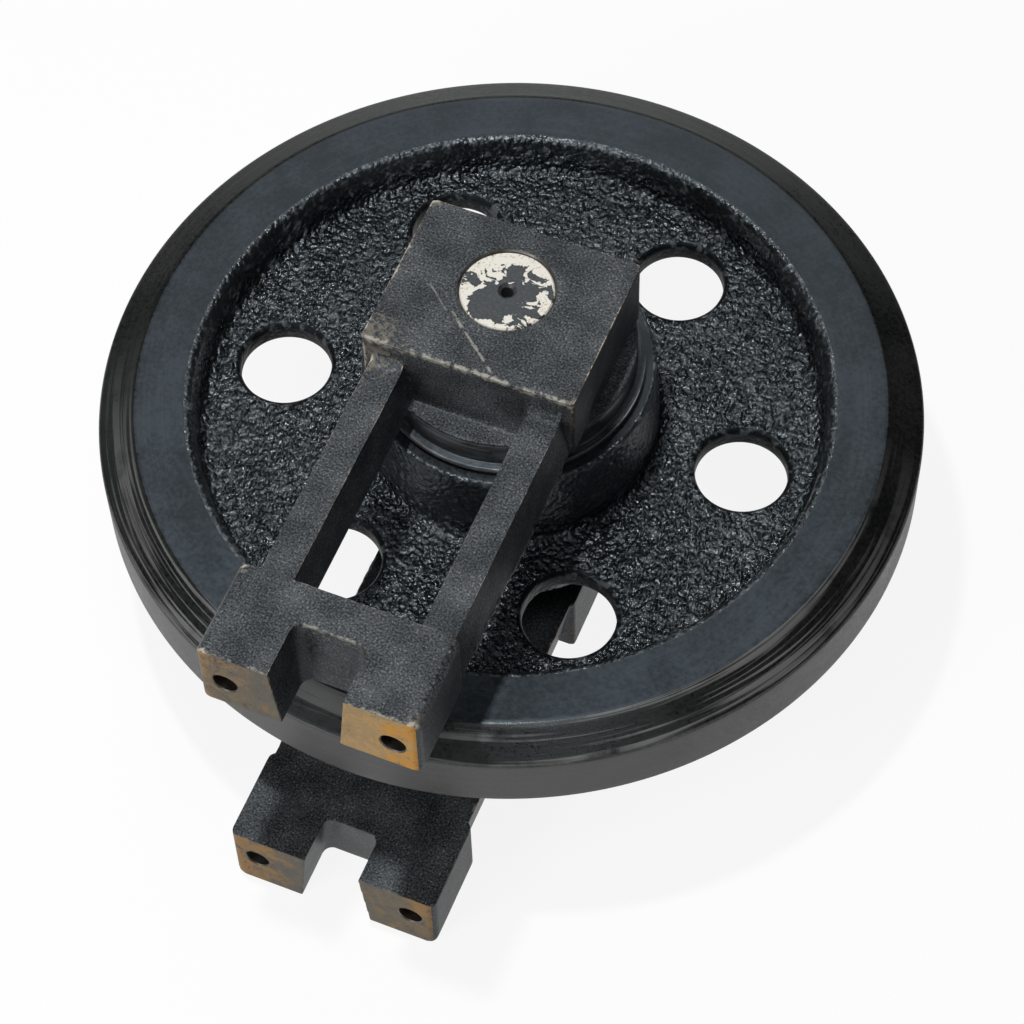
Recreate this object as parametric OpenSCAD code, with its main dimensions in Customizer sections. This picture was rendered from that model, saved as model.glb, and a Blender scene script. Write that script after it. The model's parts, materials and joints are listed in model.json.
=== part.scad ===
// Front idler of a small tracked excavator, lying on its side.
// A cast wheel turns on a fixed shaft between two mirrored yoke castings.
// Sizes are in millimetres. The origin is on the wheel's axis, in the outer face of the lower yoke.
// +Z runs up along the axis, and the bolted ends of the yokes point to -Y.

/* [Wheel] */
// Outside diameter of the central guide flange
flange_d = 400; // [384:1:440]
// Width of the flange's cylindrical edge
flange_w = 31; // [22:1:40]
// Diameter where the turned shoulder meets the rim's side face
rim_face_d = 365; // [345:1:378]
// Width across the rim's two side faces
rim_w = 50; // [44:1:60]
// Diameter of the opening inside the rim's side face
rim_bore_d = 316; // [306:1:328]
// Rounding of the rim's inner edge
rim_edge_r = 4; // [2:0.5:6]
// Rounding of the flange's two turned edges
flange_edge_r = 1.5; // [0.5:0.5:3]
// Draft of the cast wall inside the rim, in degrees
rim_draft = 10; // [4:1:15]
// Thickness of the web
web_t = 12; // [8:1:18]
// Height of the web's own middle plane above the wheel's middle plane
web_set = -2; // [-3:0.5:3]
// Fillet where the cast walls run into the web
web_fillet = 5; // [3:0.5:8]
// Number of lightening holes
web_holes = 6; // [4:1:7]
// Diameter of each lightening hole
web_hole_d = 45; // [30:1:50]
// Diameter of the circle through the lightening holes
web_hole_pcd = 232; // [222:1:240]
// Angle of the first lightening hole from +X, in degrees
web_hole_turn = 6; // [0:1:59]
// Rounding of the lightening holes' edges
web_hole_edge_r = 3; // [1:0.5:4]

/* [Hub and bearing] */
// Outside diameter of the hub at its end faces
hub_d = 141; // [134:1:150]
// Width across the hub's end faces
hub_w = 100; // [92:1:116]
// Rounding of the hub's outer end edges
hub_edge_r = 2; // [1:0.5:4]
// Draft of the hub's cast outside, in degrees
hub_draft = 3; // [1:0.5:6]
// Diameter of the shaft's running journal
journal_d = 60; // [54:1:64]
// Wall of the bearing bushes
bush_wall = 5; // [3:0.5:6]
// Thickness of the bushes' thrust flanges
bush_flange_t = 4; // [3:0.5:6]
// Length of the oil space between the two bushes
oil_space = 8; // [4:1:16]
// Radial running clearance between the journal and the bushes
run_clear = 0.05; // [0.02:0.01:0.09]
// Radial clearance of the fits that stay still
fit_clear = 0.05; // [0.02:0.01:0.09]
// Axial play between each thrust flange and its yoke
end_play = 0.4; // [0.3:0.1:0.8]

/* [Seals] */
// Bore of the seal housings in the hub and the yokes
seal_bore_d = 112; // [110:1:114]
// Radial gap between the yoke's nose and the seal rings
seal_nose_gap = 2; // [1.5:0.5:2.5]
// Wall of the seal rings behind their lapped faces
seal_ring_wall = 4.5; // [3.5:0.5:5]
// Length of each seal ring
seal_ring_l = 11; // [9:0.5:12]
// Thickness of the lapped lip of each seal ring
seal_lip_t = 3; // [2:0.5:3]
// Chamfer behind the lapped face and beside the lip
seal_chamfer = 1.5; // [0.5:0.25:2]
// Oil film between the two lapped faces
lap_gap = 0.02; // [0.02:0.01:0.05]
// Gap around the lapped lip in its housing
seal_lip_gap = 2; // [1:0.5:3]
// Section diameter of the rubber toric rings before they are squeezed
toric_d = 9.2; // [8.8:0.1:9.6]
// Share of the toric rings' section that the housing squeezes flat
toric_squeeze = 0.2; // [0.1:0.05:0.3]
// Gap between each toric ring and the floor of its housing
toric_floor_gap = 0.3; // [0.2:0.1:0.6]
// Distance from the lapped face to the middle of the toric ring
toric_set = 8.6; // [8.3:0.1:9]

/* [Shaft] */
// Diameter of the shaft's ends, held in the yokes
shaft_end_d = 45; // [38:1:50]
// Depth of the shaft's end faces below the yokes' outer faces
shaft_recess = 0.5; // [0.2:0.1:2]
// Chamfer on the shaft's ends and on the yoke bores' mouths
mouth_chamfer = 1; // [0.5:0.25:2]
// Diameter of the turning centre in the upper end
centre_d = 6; // [4:0.5:9]
// Depth of the turning centre
centre_l = 9; // [6:1:16]
// Mouth diameter of the turning centre
centre_mouth_d = 9; // [6:0.5:14]
// Width of the groove for the shaft's sealing ring
o_groove_w = 5; // [4:0.5:6]
// Depth of the groove for the shaft's sealing ring
o_groove_t = 3; // [2:0.5:4]
// Distance from the shoulder to the sealing ring's groove
o_groove_set = 7; // [5:0.5:10]
// Diameter of the oil gallery
gallery_d = 8; // [5:0.5:10]
// Diameter of the cross drilling into the oil space
cross_drill_d = 5; // [3:0.5:7]
// Diameter of the oil plug's shank
plug_d = 14; // [12:1:16]
// Length of the oil plug's shank
plug_l = 14; // [10:1:20]
// Width across the oil plug's head
plug_head_d = 22; // [19:1:24]
// Thickness of the oil plug's head
plug_head_t = 5; // [4:0.5:7]
// Width across the flats of the socket in the oil plug
plug_socket = 8; // [6:1:9]
// Thickness of the oil plug's sealing washer
plug_washer_t = 1.5; // [1:0.25:2.5]

/* [Yokes] */
// Gap between the hub's end face and the yoke's collar
face_gap = 2; // [1:0.25:4]
// Width of the thin collar beyond the round boss
collar_w = 4; // [2:0.5:6]
// Thickness of the collar
collar_t = 3; // [2:0.5:5]
// Wall of the round boss around the seal's housing
boss_wall = 5; // [4:0.5:7]
// Height of the round boss from the collar to the yoke's inner face
boss_h = 13; // [12:0.5:20]
// Height that the round boss laps up the block
boss_lap = 2; // [1:0.5:5]
// Thickness of the block and the crosshead
yoke_t = 40; // [34:1:52]
// Width of the block
block_w = 105; // [96:1:116]
// Distance from the axis to the block's back face
block_back = 36; // [32:1:44]
// Distance from the axis to the block's front face
block_front = 49; // [40:1:56]
// Rounding of the block's upright corners
block_corner_r = 2; // [1:0.5:6]
// Rounding of the crosshead's upright corners
cross_corner_r = 4; // [2:0.5:8]
// Rounding of the crosshead's long outer edges
cross_edge_r = 5; // [2:0.5:8]
// Clear width between the arms at their outer edges
arm_gap = 62; // [54:1:66]
// Width of each arm's outer edge
arm_w = 16; // [12:1:18]
// Depth of the arms from the yoke's inner face
arm_t = 27; // [20:1:32]
// Draft of the arms' cast sides, in degrees
arm_draft = 8; // [3:1:10]
// Fillet where the arms run into the block and the crosshead
arm_fillet = 6; // [3:0.5:6]
// Draft of the crosshead's wall between the arms, in degrees
window_draft = 19; // [10:1:22]
// Width of the crosshead
cross_w = 106; // [102:1:118]
// Length of the crosshead along the arms
cross_l = 48; // [40:1:60]
// Distance from the axis to the bolted end faces
cross_reach = 227; // [218:1:250]
// Width of the notch at the yoke's outer face
notch_w = 36; // [24:1:44]
// Length of the notch at the yoke's outer face
notch_l = 29; // [20:1:32]
// Draft of the notch's walls, in degrees
notch_draft = 6; // [2:1:8]
// Rounding of the notch's back corners
notch_r = 5; // [2:0.5:6]

/* [Fasteners] */
// Distance between the two bolt holes in each yoke
bolt_spacing = 80; // [70:1:84]
// Tapping diameter of the bolt holes
bolt_d = 12; // [8:0.5:14]
// Depth of the bolt holes
bolt_l = 34; // [20:1:38]
// Distance from the yoke's outer face to the bolt holes
bolt_set = 22; // [16:1:24]
// Diameter of the lock pins across the shaft's ends
pin_d = 12; // [8:0.5:14]
// Length of the lock pins
pin_l = 62; // [50:1:66]
// Depth of the lock pins' ends below the block's back face
pin_recess = 1; // [0.5:0.25:3]
// Distance from the yoke's outer face to the lock pins
pin_set = 20; // [12:1:24]

/* [Hidden] */
$fn = 128;
hull_fn = 32;
arc_steps = 6;
eps = 0.01;
cut = 1;

flange_r = flange_d / 2;
rim_face_r = rim_face_d / 2;
rim_bore_r = rim_bore_d / 2;
hub_r = hub_d / 2;
web_hole_r = web_hole_d / 2;
journal_r = journal_d / 2;
bush_r = journal_r + run_clear + bush_wall;
bush_bore_r = journal_r + run_clear;
hub_bore_r = bush_r + fit_clear;
seal_bore_r = seal_bore_d / 2;
seal_seat_r = seal_bore_r - toric_d * (1 - toric_squeeze) - 2 * fit_clear;
seal_ring_inner_r = seal_seat_r - seal_ring_wall;
seal_lip_r = seal_bore_r - seal_lip_gap;
nose_r = seal_ring_inner_r - seal_nose_gap;
hub_nose_r = nose_r + seal_nose_gap / 2;
bush_flange_r = nose_r;
boss_r = seal_bore_r + boss_wall;
collar_r = boss_r + collar_w;
shaft_end_r = shaft_end_d / 2;
yoke_bore_r = shaft_end_r + fit_clear;
pin_r = pin_d / 2;
pin_hole_r = pin_r + fit_clear;
bolt_r = bolt_d / 2;
plug_r = plug_d / 2;
plug_head_r = plug_head_d / 2;

// Heights above the wheel's middle plane
hub_z = hub_w / 2;
flange_seat_z = hub_z - bush_flange_t;
seal_z = hub_z + face_gap / 2;
nose_z = hub_z + end_play;
collar_z = hub_z + face_gap;
boss_z = collar_z + collar_t;
yoke_z = boss_z + boss_h;
half_h = yoke_z + yoke_t;
shaft_z = half_h - shaft_recess;
seal_floor = toric_set + toric_d / 2 + toric_floor_gap;
o_groove_z = nose_z + o_groove_set;
centre_mouth_l = (centre_mouth_d - centre_d) / 2;
pin_z = half_h - pin_set;
bolt_z = half_h - bolt_set;

// Distances from the axis towards the bolted ends
cross_back = cross_reach - cross_l;
arm_side = arm_t * tan(arm_draft);
window_wall_h = arm_t - cut;
window_wall_l = window_wall_h * tan(window_draft);
notch_side = yoke_t * tan(notch_draft);

// Length that the arms are sunk into the block and the crosshead
arm_seat = 4;

// Colours
paint_black = [0.09, 0.09, 0.10];
steel_grey = [0.55, 0.55, 0.57];
bronze = [0.72, 0.52, 0.28];
seal_steel = [0.42, 0.43, 0.45];
rubber_black = [0.05, 0.05, 0.05];
copper = [0.78, 0.45, 0.30];

// Points of an arc around a centre, from one angle to another
function arc(centre, r, from, to) =
    [for (i = [0 : arc_steps]) let (a = from + (to - from) * i / arc_steps) centre + r * [cos(a), sin(a)]];

// A list of points in the opposite order
function backwards(points) = [for (i = [len(points) - 1 : -1 : 0]) points[i]];

// The same points below the middle plane
function below(points) = [for (p = points) [p[0], -p[1]]];

// Puts a piece that is drawn above the wheel's middle plane at the upper end of the assembly
module upper_end() {
    translate([0, 0, half_h]) children();
}

// Puts the same piece, mirrored, at the lower end
module lower_end() {
    translate([0, 0, half_h]) mirror([0, 0, 1]) children();
}

// Angle of the turned shoulder's slope, in degrees below the rim's side face
shoulder_angle = atan2(rim_w / 2 - flange_w / 2, flange_r - rim_face_r);

// Centre of the rounding between the flange's edge and the shoulder
flange_edge_drop = flange_edge_r * tan((90 - shoulder_angle) / 2);
flange_edge_centre = [flange_r - flange_edge_r, flange_w / 2 - flange_edge_drop];

// Centres of the roundings at the rim's edge and at the hub's end
rim_edge_centre = [rim_bore_r, rim_w / 2 - rim_edge_r];
hub_edge_centre = [hub_r - hub_edge_r, hub_z - hub_edge_r];

// Centres of the fillets beside the web, at a height above the middle plane
function rim_fillet(z) = [
    rim_bore_r - (rim_edge_r + web_fillet) / cos(rim_draft) - (rim_edge_centre[1] - z) * tan(rim_draft), z
];
function hub_fillet(z) = [
    hub_edge_centre[0] + (hub_edge_r + web_fillet) / cos(hub_draft) + (hub_edge_centre[1] - z) * tan(hub_draft), z
];

// Section of one side of the wheel, from the flange's edge inwards to the bore, over a web of this height
function wheel_side(web_z) = concat(
    arc(flange_edge_centre, flange_edge_r, 0, 90 - shoulder_angle),
    [[rim_face_r, rim_w / 2]],
    arc(rim_edge_centre, rim_edge_r, 90, 180 - rim_draft),
    arc(rim_fillet(web_z + web_fillet), web_fillet, -rim_draft, -90),
    arc(hub_fillet(web_z + web_fillet), web_fillet, 270, 180 + hub_draft),
    arc(hub_edge_centre, hub_edge_r, hub_draft, 90),
    [
        [seal_bore_r, hub_z],
        [seal_bore_r, seal_z - seal_floor],
        [hub_nose_r, seal_z - seal_floor],
        [hub_nose_r, flange_seat_z],
        [hub_bore_r, flange_seat_z]
    ]
);

// A lightening hole with rounded edges, drawn on the wheel's axis
module web_hole() {
    mouth = arc([web_hole_r + web_hole_edge_r, web_t / 2 - web_hole_edge_r], web_hole_edge_r, 180, 90);
    lip = [[web_hole_r + web_hole_edge_r, web_t / 2 + cut]];
    wall = concat(mouth, lip);
    rotate_extrude() polygon(concat(
        [[0, -web_t / 2 - cut]], below(backwards(wall)), wall, [[0, web_t / 2 + cut]]
    ));
}

module idler_wheel() {
    color(paint_black) translate([0, 0, half_h]) difference() {
        rotate_extrude() polygon(concat(
            wheel_side(web_t / 2 + web_set), below(backwards(wheel_side(web_t / 2 - web_set)))
        ));
        for (i = [0 : web_holes - 1])
            rotate([0, 0, web_hole_turn + i * 360 / web_holes])
                translate([web_hole_pcd / 2, 0, web_set]) web_hole();
    }
}

// Section of the shaft above the wheel's middle plane, from the axis at its end outwards
shaft_half = [
    [0, shaft_z],
    [shaft_end_r - mouth_chamfer, shaft_z],
    [shaft_end_r, shaft_z - mouth_chamfer],
    [shaft_end_r, o_groove_z + o_groove_w],
    [shaft_end_r - o_groove_t, o_groove_z + o_groove_w],
    [shaft_end_r - o_groove_t, o_groove_z],
    [shaft_end_r, o_groove_z],
    [shaft_end_r, nose_z],
    [journal_r, nose_z]
];

// The bore that holds a lock pin, across the side of a shaft's end
module pin_bore() {
    translate([-shaft_end_r, block_back + cut, pin_z]) rotate([90, 0, 0])
        cylinder(r = pin_hole_r, h = pin_l + pin_recess + cut);
}

plug_seat = plug_head_t + plug_washer_t;

module axle_shaft() {
    color(steel_grey) difference() {
        translate([0, 0, half_h]) rotate_extrude()
            polygon(concat(shaft_half, below(backwards(shaft_half))));
        upper_end() {
            translate([0, 0, shaft_z - centre_l]) cylinder(d = centre_d, h = centre_l + cut);
            translate([0, 0, shaft_z - centre_mouth_l])
                cylinder(d1 = centre_d, d2 = centre_mouth_d, h = centre_mouth_l + eps);
            pin_bore();
        }
        lower_end() {
            pin_bore();
            translate([0, 0, shaft_z - plug_seat])
                cylinder(r = plug_head_r + mouth_chamfer, h = plug_seat + cut);
            translate([0, 0, shaft_z - plug_seat - plug_l - cut])
                cylinder(r = plug_r + fit_clear, h = plug_l + 2 * cut);
            cylinder(d = gallery_d, h = shaft_z - plug_seat);
        }
        translate([0, 0, half_h]) rotate([0, 90, 0]) {
            translate([0, 0, -journal_r - cut]) cylinder(d = cross_drill_d, h = 2 * (journal_r + cut));
        }
        translate([0, 0, half_h]) sphere(d = gallery_d);
    }
}

// Plan of a rectangle with rounded corners, from its lower left to its upper right corner
module rounded_plan(low, high, r) {
    for (x = [low[0] + r, high[0] - r], y = [low[1] + r, high[1] - r]) translate([x, y]) circle(r);
    translate([low[0], low[1] + r]) square([high[0] - low[0], high[1] - low[1] - 2 * r]);
    translate([low[0] + r, low[1]]) square([high[0] - low[0] - 2 * r, high[1] - low[1]]);
}

// Turned part of a yoke: the collar over the seal, the boss and the nose around the shaft
module yoke_boss() {
    rotate_extrude() polygon([
        [yoke_bore_r, nose_z],
        [nose_r, nose_z],
        [nose_r, seal_z + seal_floor],
        [seal_bore_r, seal_z + seal_floor],
        [seal_bore_r, collar_z],
        [collar_r, collar_z],
        [collar_r, boss_z],
        [boss_r, boss_z],
        [boss_r, yoke_z + boss_lap],
        [yoke_bore_r, yoke_z + boss_lap]
    ]);
}

// One drafted arm on the +X side
module yoke_arm() {
    inner = arm_gap / 2;
    outer = inner + arm_w;
    start = block_front - arm_seat;
    translate([0, -start, yoke_z]) rotate([90, 0, 0]) linear_extrude(cross_back + arm_seat - start)
        polygon([
            [inner - arm_side, 0],
            [outer + arm_side, 0],
            [outer, arm_t],
            [inner, arm_t]
        ]);
    translate([inner, 0, yoke_z + arm_t]) rotate([90, 0, 90]) linear_extrude(arm_w) {
        polygon(concat([[-block_front, 0]], arc([-block_front - arm_fillet, arm_fillet], arm_fillet, 0, -90)));
        polygon(concat([[-cross_back, 0]], arc([-cross_back + arm_fillet, arm_fillet], arm_fillet, 270, 180)));
    }
}

// The crosshead without its notch and bolt holes
module crosshead() {
    intersection() {
        translate([0, 0, yoke_z]) linear_extrude(yoke_t)
            rounded_plan([-cross_w / 2, -cross_reach], [cross_w / 2, -cross_back], cross_corner_r);
        translate([0, -cross_back, half_h]) rotate([90, 0, 0]) linear_extrude(cross_l)
            rounded_plan([-cross_w / 2, -yoke_t - 2 * cross_edge_r], [cross_w / 2, 0], cross_edge_r);
    }
}

// Drafted wall of the crosshead at its end of the window between the arms
module window_wall() {
    side = arm_gap / 2 + cut;
    buried = -cross_back - arm_seat;
    translate([-side, 0, yoke_z]) rotate([90, 0, 90]) linear_extrude(2 * side)
        polygon([
            [buried, 0],
            [-cross_back + window_wall_l, 0],
            [-cross_back, window_wall_h],
            [buried, window_wall_h]
        ]);
}

// A thin plate of the notch's plan, narrowed by the draft
module notch_plate(narrow, z) {
    w = notch_w / 2 - narrow;
    back = cross_reach - notch_l + narrow;
    translate([0, 0, z]) linear_extrude(eps) {
        for (x = [-1, 1]) translate([x * (w - notch_r), -back - notch_r]) circle(notch_r, $fn = hull_fn);
        translate([-w, -cross_reach - 2 * cut]) square([2 * w, cut]);
    }
}

// Bolt hole in the crosshead's end face
module bolt_hole() {
    translate([0, -cross_reach - cut, bolt_z]) rotate([-90, 0, 0]) cylinder(r = bolt_r, h = bolt_l + cut);
}

// A whole yoke above the wheel's middle plane
module yoke() {
    difference() {
        union() {
            translate([0, 0, yoke_z]) linear_extrude(yoke_t)
                rounded_plan([-block_w / 2, -block_front], [block_w / 2, block_back], block_corner_r);
            yoke_boss();
            yoke_arm();
            mirror([1, 0, 0]) yoke_arm();
            crosshead();
            window_wall();
        }
        translate([0, 0, nose_z - cut]) cylinder(r = yoke_bore_r, h = half_h - nose_z + 2 * cut);
        translate([0, 0, half_h - mouth_chamfer])
            cylinder(r1 = yoke_bore_r, r2 = yoke_bore_r + mouth_chamfer + eps, h = mouth_chamfer + eps);
        pin_bore();
        hull() {
            notch_plate(notch_side, yoke_z - cut);
            notch_plate(0, half_h + cut);
        }
        for (x = [-1, 1]) translate([x * bolt_spacing / 2, 0, 0]) bolt_hole();
    }
}

module upper_yoke() { color(paint_black) upper_end() yoke(); }
module lower_yoke() { color(paint_black) lower_end() yoke(); }

// Flanged bearing bush
module bush() {
    rotate_extrude() polygon([
        [bush_bore_r, oil_space / 2],
        [bush_r, oil_space / 2],
        [bush_r, flange_seat_z],
        [bush_flange_r, flange_seat_z],
        [bush_flange_r, hub_z],
        [bush_bore_r, hub_z]
    ]);
}

module upper_bush() { color(bronze) upper_end() bush(); }
module lower_bush() { color(bronze) lower_end() bush(); }

// Metal face seal ring, standing on its lapped face at height 0
module seal_ring() {
    rotate_extrude() polygon([
        [seal_ring_inner_r + seal_chamfer, 0],
        [seal_lip_r, 0],
        [seal_lip_r, seal_lip_t],
        [seal_seat_r, seal_lip_t + seal_chamfer],
        [seal_seat_r, seal_ring_l],
        [seal_ring_inner_r, seal_ring_l],
        [seal_ring_inner_r, seal_chamfer]
    ]);
}

// Rubber ring squeezed between a seal ring and its housing, measured from the lapped face
module toric() {
    low = seal_seat_r + fit_clear;
    high = seal_bore_r - fit_clear;
    rotate_extrude() intersection() {
        translate([(low + high) / 2, toric_set]) circle(d = toric_d);
        translate([low, 0]) square([high - low, seal_floor]);
    }
}

module on_wheel_side() { translate([0, 0, seal_z - lap_gap / 2]) mirror([0, 0, 1]) children(); }
module on_yoke_side() { translate([0, 0, seal_z + lap_gap / 2]) children(); }

module upper_wheel_seal_ring() { color(seal_steel) upper_end() on_wheel_side() seal_ring(); }
module upper_yoke_seal_ring() { color(seal_steel) upper_end() on_yoke_side() seal_ring(); }
module lower_wheel_seal_ring() { color(seal_steel) lower_end() on_wheel_side() seal_ring(); }
module lower_yoke_seal_ring() { color(seal_steel) lower_end() on_yoke_side() seal_ring(); }

module upper_wheel_toric() { color(rubber_black) upper_end() on_wheel_side() toric(); }
module upper_yoke_toric() { color(rubber_black) upper_end() on_yoke_side() toric(); }
module lower_wheel_toric() { color(rubber_black) lower_end() on_wheel_side() toric(); }
module lower_yoke_toric() { color(rubber_black) lower_end() on_yoke_side() toric(); }

// Rubber ring in the shaft's groove, squeezed against the yoke's bore
module shaft_o_ring() {
    inner = shaft_end_r - o_groove_t;
    rotate_extrude() intersection() {
        translate([(inner + shaft_end_r) / 2, o_groove_z + o_groove_w / 2]) circle(d = o_groove_w - 2 * fit_clear);
        translate([inner + fit_clear, o_groove_z]) square([o_groove_t - fit_clear, o_groove_w]);
    }
}

module upper_shaft_o_ring() { color(rubber_black) upper_end() shaft_o_ring(); }
module lower_shaft_o_ring() { color(rubber_black) lower_end() shaft_o_ring(); }

// Lock pin across the shaft's end, driven in from the block's back face
module lock_pin() {
    translate([-shaft_end_r, block_back - pin_recess, pin_z]) rotate([90, 0, 0]) {
        cylinder(r = pin_r, h = pin_l - mouth_chamfer);
        translate([0, 0, pin_l - mouth_chamfer]) cylinder(r1 = pin_r, r2 = pin_r - mouth_chamfer, h = mouth_chamfer);
    }
}

module upper_lock_pin() { color(steel_grey) upper_end() lock_pin(); }
module lower_lock_pin() { color(steel_grey) lower_end() lock_pin(); }

module oil_plug() {
    color(steel_grey) lower_end() difference() {
        union() {
            translate([0, 0, shaft_z - plug_head_t]) cylinder(r = plug_head_r, h = plug_head_t);
            translate([0, 0, shaft_z - plug_seat - plug_l + cut]) cylinder(r = plug_r, h = plug_l + plug_washer_t);
        }
        translate([0, 0, shaft_z - plug_head_t]) cylinder(d = plug_socket / cos(30), h = plug_head_t + cut, $fn = 6);
    }
}

module oil_plug_washer() {
    color(copper) lower_end() translate([0, 0, shaft_z - plug_seat]) difference() {
        cylinder(r = plug_head_r - mouth_chamfer, h = plug_washer_t);
        translate([0, 0, -cut]) cylinder(r = plug_r + fit_clear, h = plug_washer_t + 2 * cut);
    }
}

idler_wheel();
axle_shaft();
upper_yoke();
lower_yoke();
upper_bush();
lower_bush();
upper_wheel_seal_ring();
upper_yoke_seal_ring();
lower_wheel_seal_ring();
lower_yoke_seal_ring();
upper_wheel_toric();
upper_yoke_toric();
lower_wheel_toric();
lower_yoke_toric();
upper_shaft_o_ring();
lower_shaft_o_ring();
upper_lock_pin();
lower_lock_pin();
oil_plug();
oil_plug_washer();
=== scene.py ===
"""Dress of a small excavator's front idler that lies on its side.

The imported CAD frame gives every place.  The wheel and the two yokes get cast skins that stand for their CAD
nodes, and every other node keeps its CAD shape and gets a finish.  Lengths are in metres.  +Z runs along the
wheel's axis, and the bolted ends of the yokes point to -Y.
"""

import json
import logging
import math
from dataclasses import dataclass, field
from enum import Enum
from typing import Any, Mapping, Sequence

import bmesh
import bpy
import numpy as np
from mathutils import Matrix, Vector

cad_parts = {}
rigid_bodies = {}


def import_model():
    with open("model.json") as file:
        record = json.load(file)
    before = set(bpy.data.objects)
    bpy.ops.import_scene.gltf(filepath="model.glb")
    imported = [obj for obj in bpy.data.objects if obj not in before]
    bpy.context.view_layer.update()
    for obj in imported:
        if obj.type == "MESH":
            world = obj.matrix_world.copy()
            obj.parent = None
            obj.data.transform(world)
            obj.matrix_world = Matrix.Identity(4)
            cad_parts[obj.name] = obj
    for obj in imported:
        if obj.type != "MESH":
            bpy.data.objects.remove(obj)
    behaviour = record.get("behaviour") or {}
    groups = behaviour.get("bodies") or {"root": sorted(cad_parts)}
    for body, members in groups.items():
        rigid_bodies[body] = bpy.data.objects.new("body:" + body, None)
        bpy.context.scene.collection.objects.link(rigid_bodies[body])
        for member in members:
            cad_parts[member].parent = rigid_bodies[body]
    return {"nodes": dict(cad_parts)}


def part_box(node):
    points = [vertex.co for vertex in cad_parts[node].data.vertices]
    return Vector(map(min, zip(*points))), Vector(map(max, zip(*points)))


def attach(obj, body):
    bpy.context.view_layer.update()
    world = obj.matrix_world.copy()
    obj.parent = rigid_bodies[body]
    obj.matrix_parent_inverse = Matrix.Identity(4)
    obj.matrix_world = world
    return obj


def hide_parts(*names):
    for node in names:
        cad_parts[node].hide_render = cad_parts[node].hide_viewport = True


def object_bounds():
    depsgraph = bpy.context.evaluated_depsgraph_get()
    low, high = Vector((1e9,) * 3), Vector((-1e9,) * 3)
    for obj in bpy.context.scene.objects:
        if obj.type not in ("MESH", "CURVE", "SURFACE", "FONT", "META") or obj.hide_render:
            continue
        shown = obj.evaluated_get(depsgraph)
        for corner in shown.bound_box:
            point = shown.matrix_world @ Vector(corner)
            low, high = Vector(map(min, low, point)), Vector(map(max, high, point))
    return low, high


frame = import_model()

# Shared values, in metres
CAD_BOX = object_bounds()
LOG = logging.getLogger("front_idler")
MM = 0.001
WELD = 0.001 * MM
GROUND_Z, TOP_Z = (corner[2] for corner in CAD_BOX)
MIDDLE_Z = (GROUND_Z + TOP_Z) / 2.0
# Heights of the pale lines along the front edges and the notch's back edge, which are partly rubbed paint and
# partly painted highlights
RUBBED_AND_HIGHLIT_EDGE_Z = TOP_Z - 0.8 * MM
RUBBED_AND_HIGHLIT_NOTCH_Z = TOP_Z - 0.4 * MM

Colour = tuple[float, float, float, float]
Point = tuple[float, float]


# Bodies, ends and zones


class Body(Enum):
    """The two bodies of the frame."""

    FRAME = "frame"
    WHEEL = "wheel"


class End(Enum):
    """The two ends of the idler, with the direction from its middle plane."""

    UPPER = 1
    LOWER = -1

    @property
    def word(self) -> str:
        """The end's name as the CAD nodes spell it."""
        return self.name.lower()


class WheelZone(Enum):
    """Stretches of the wheel's section that have a finish of their own."""

    FLANGE = 0
    SHOULDER = 1
    RIM_FACE = 2
    CAST = 3
    HUB_FACE = 4
    BORE = 5
    HOLE = 6


class YokeZone(Enum):
    """Faces of a yoke that have a finish of their own."""

    PAINT = 0
    RUST = 1
    TURNED = 2
    BORE = 3
    EDGE = 4


# Node trees


class Sock:
    """An output socket that takes part in Python arithmetic by adding Math nodes."""

    def __init__(self, nodes: "Nodes", socket: bpy.types.NodeSocket) -> None:
        """Keep a socket and the builder of its tree.

        Args:
            nodes: builder of the tree that holds the socket.
            socket: an output socket.
        """
        self.nodes = nodes
        self.socket = socket

    def of(self, name: str) -> "Sock":
        """Another output of the same node."""
        return Sock(self.nodes, Nodes.pick(self.socket.node.outputs, name))

    def math(self, operation: str, *others: "Sock | float") -> "Sock":
        """A Math node that has this value first."""
        return self.nodes.add("ShaderNodeMath", {"operation": operation}, dict(enumerate((self, *others))))

    def smooth(self, low: float, high: float) -> "Sock":
        """A soft step from 0 to 1 between two values.

        Args:
            low: value at which the step starts.
            high: value at which the step is done; below low, the step falls from 1 to 0.

        Returns:
            The step's socket.
        """
        first, last = min(low, high), max(low, high)
        ends = (0.0, 1.0) if high > low else (1.0, 0.0)
        return self.nodes.add(
            "ShaderNodeMapRange",
            {"interpolation_type": "SMOOTHSTEP"},
            {"Value": self, "From Min": first, "From Max": last, "To Min": ends[0], "To Max": ends[1]},
        )

    def __add__(self, other: "Sock | float") -> "Sock":
        """This value plus another."""
        return self.math("ADD", other)

    def __sub__(self, other: "Sock | float") -> "Sock":
        """This value less another."""
        return self.math("SUBTRACT", other)

    def __rsub__(self, other: float) -> "Sock":
        """A number less this value."""
        return self.nodes.add("ShaderNodeMath", {"operation": "SUBTRACT"}, {0: other, 1: self})

    def __mul__(self, other: "Sock | float") -> "Sock":
        """This value times another."""
        return self.math("MULTIPLY", other)

    def __truediv__(self, other: "Sock | float") -> "Sock":
        """This value over another."""
        return self.math("DIVIDE", other)

    def __rtruediv__(self, other: float) -> "Sock":
        """A number over this value."""
        return self.nodes.add("ShaderNodeMath", {"operation": "DIVIDE"}, {0: other, 1: self})

    def __pow__(self, other: "Sock | float") -> "Sock":
        """This value to a power."""
        return self.math("POWER", other)

    __radd__ = __add__
    __rmul__ = __mul__


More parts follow.
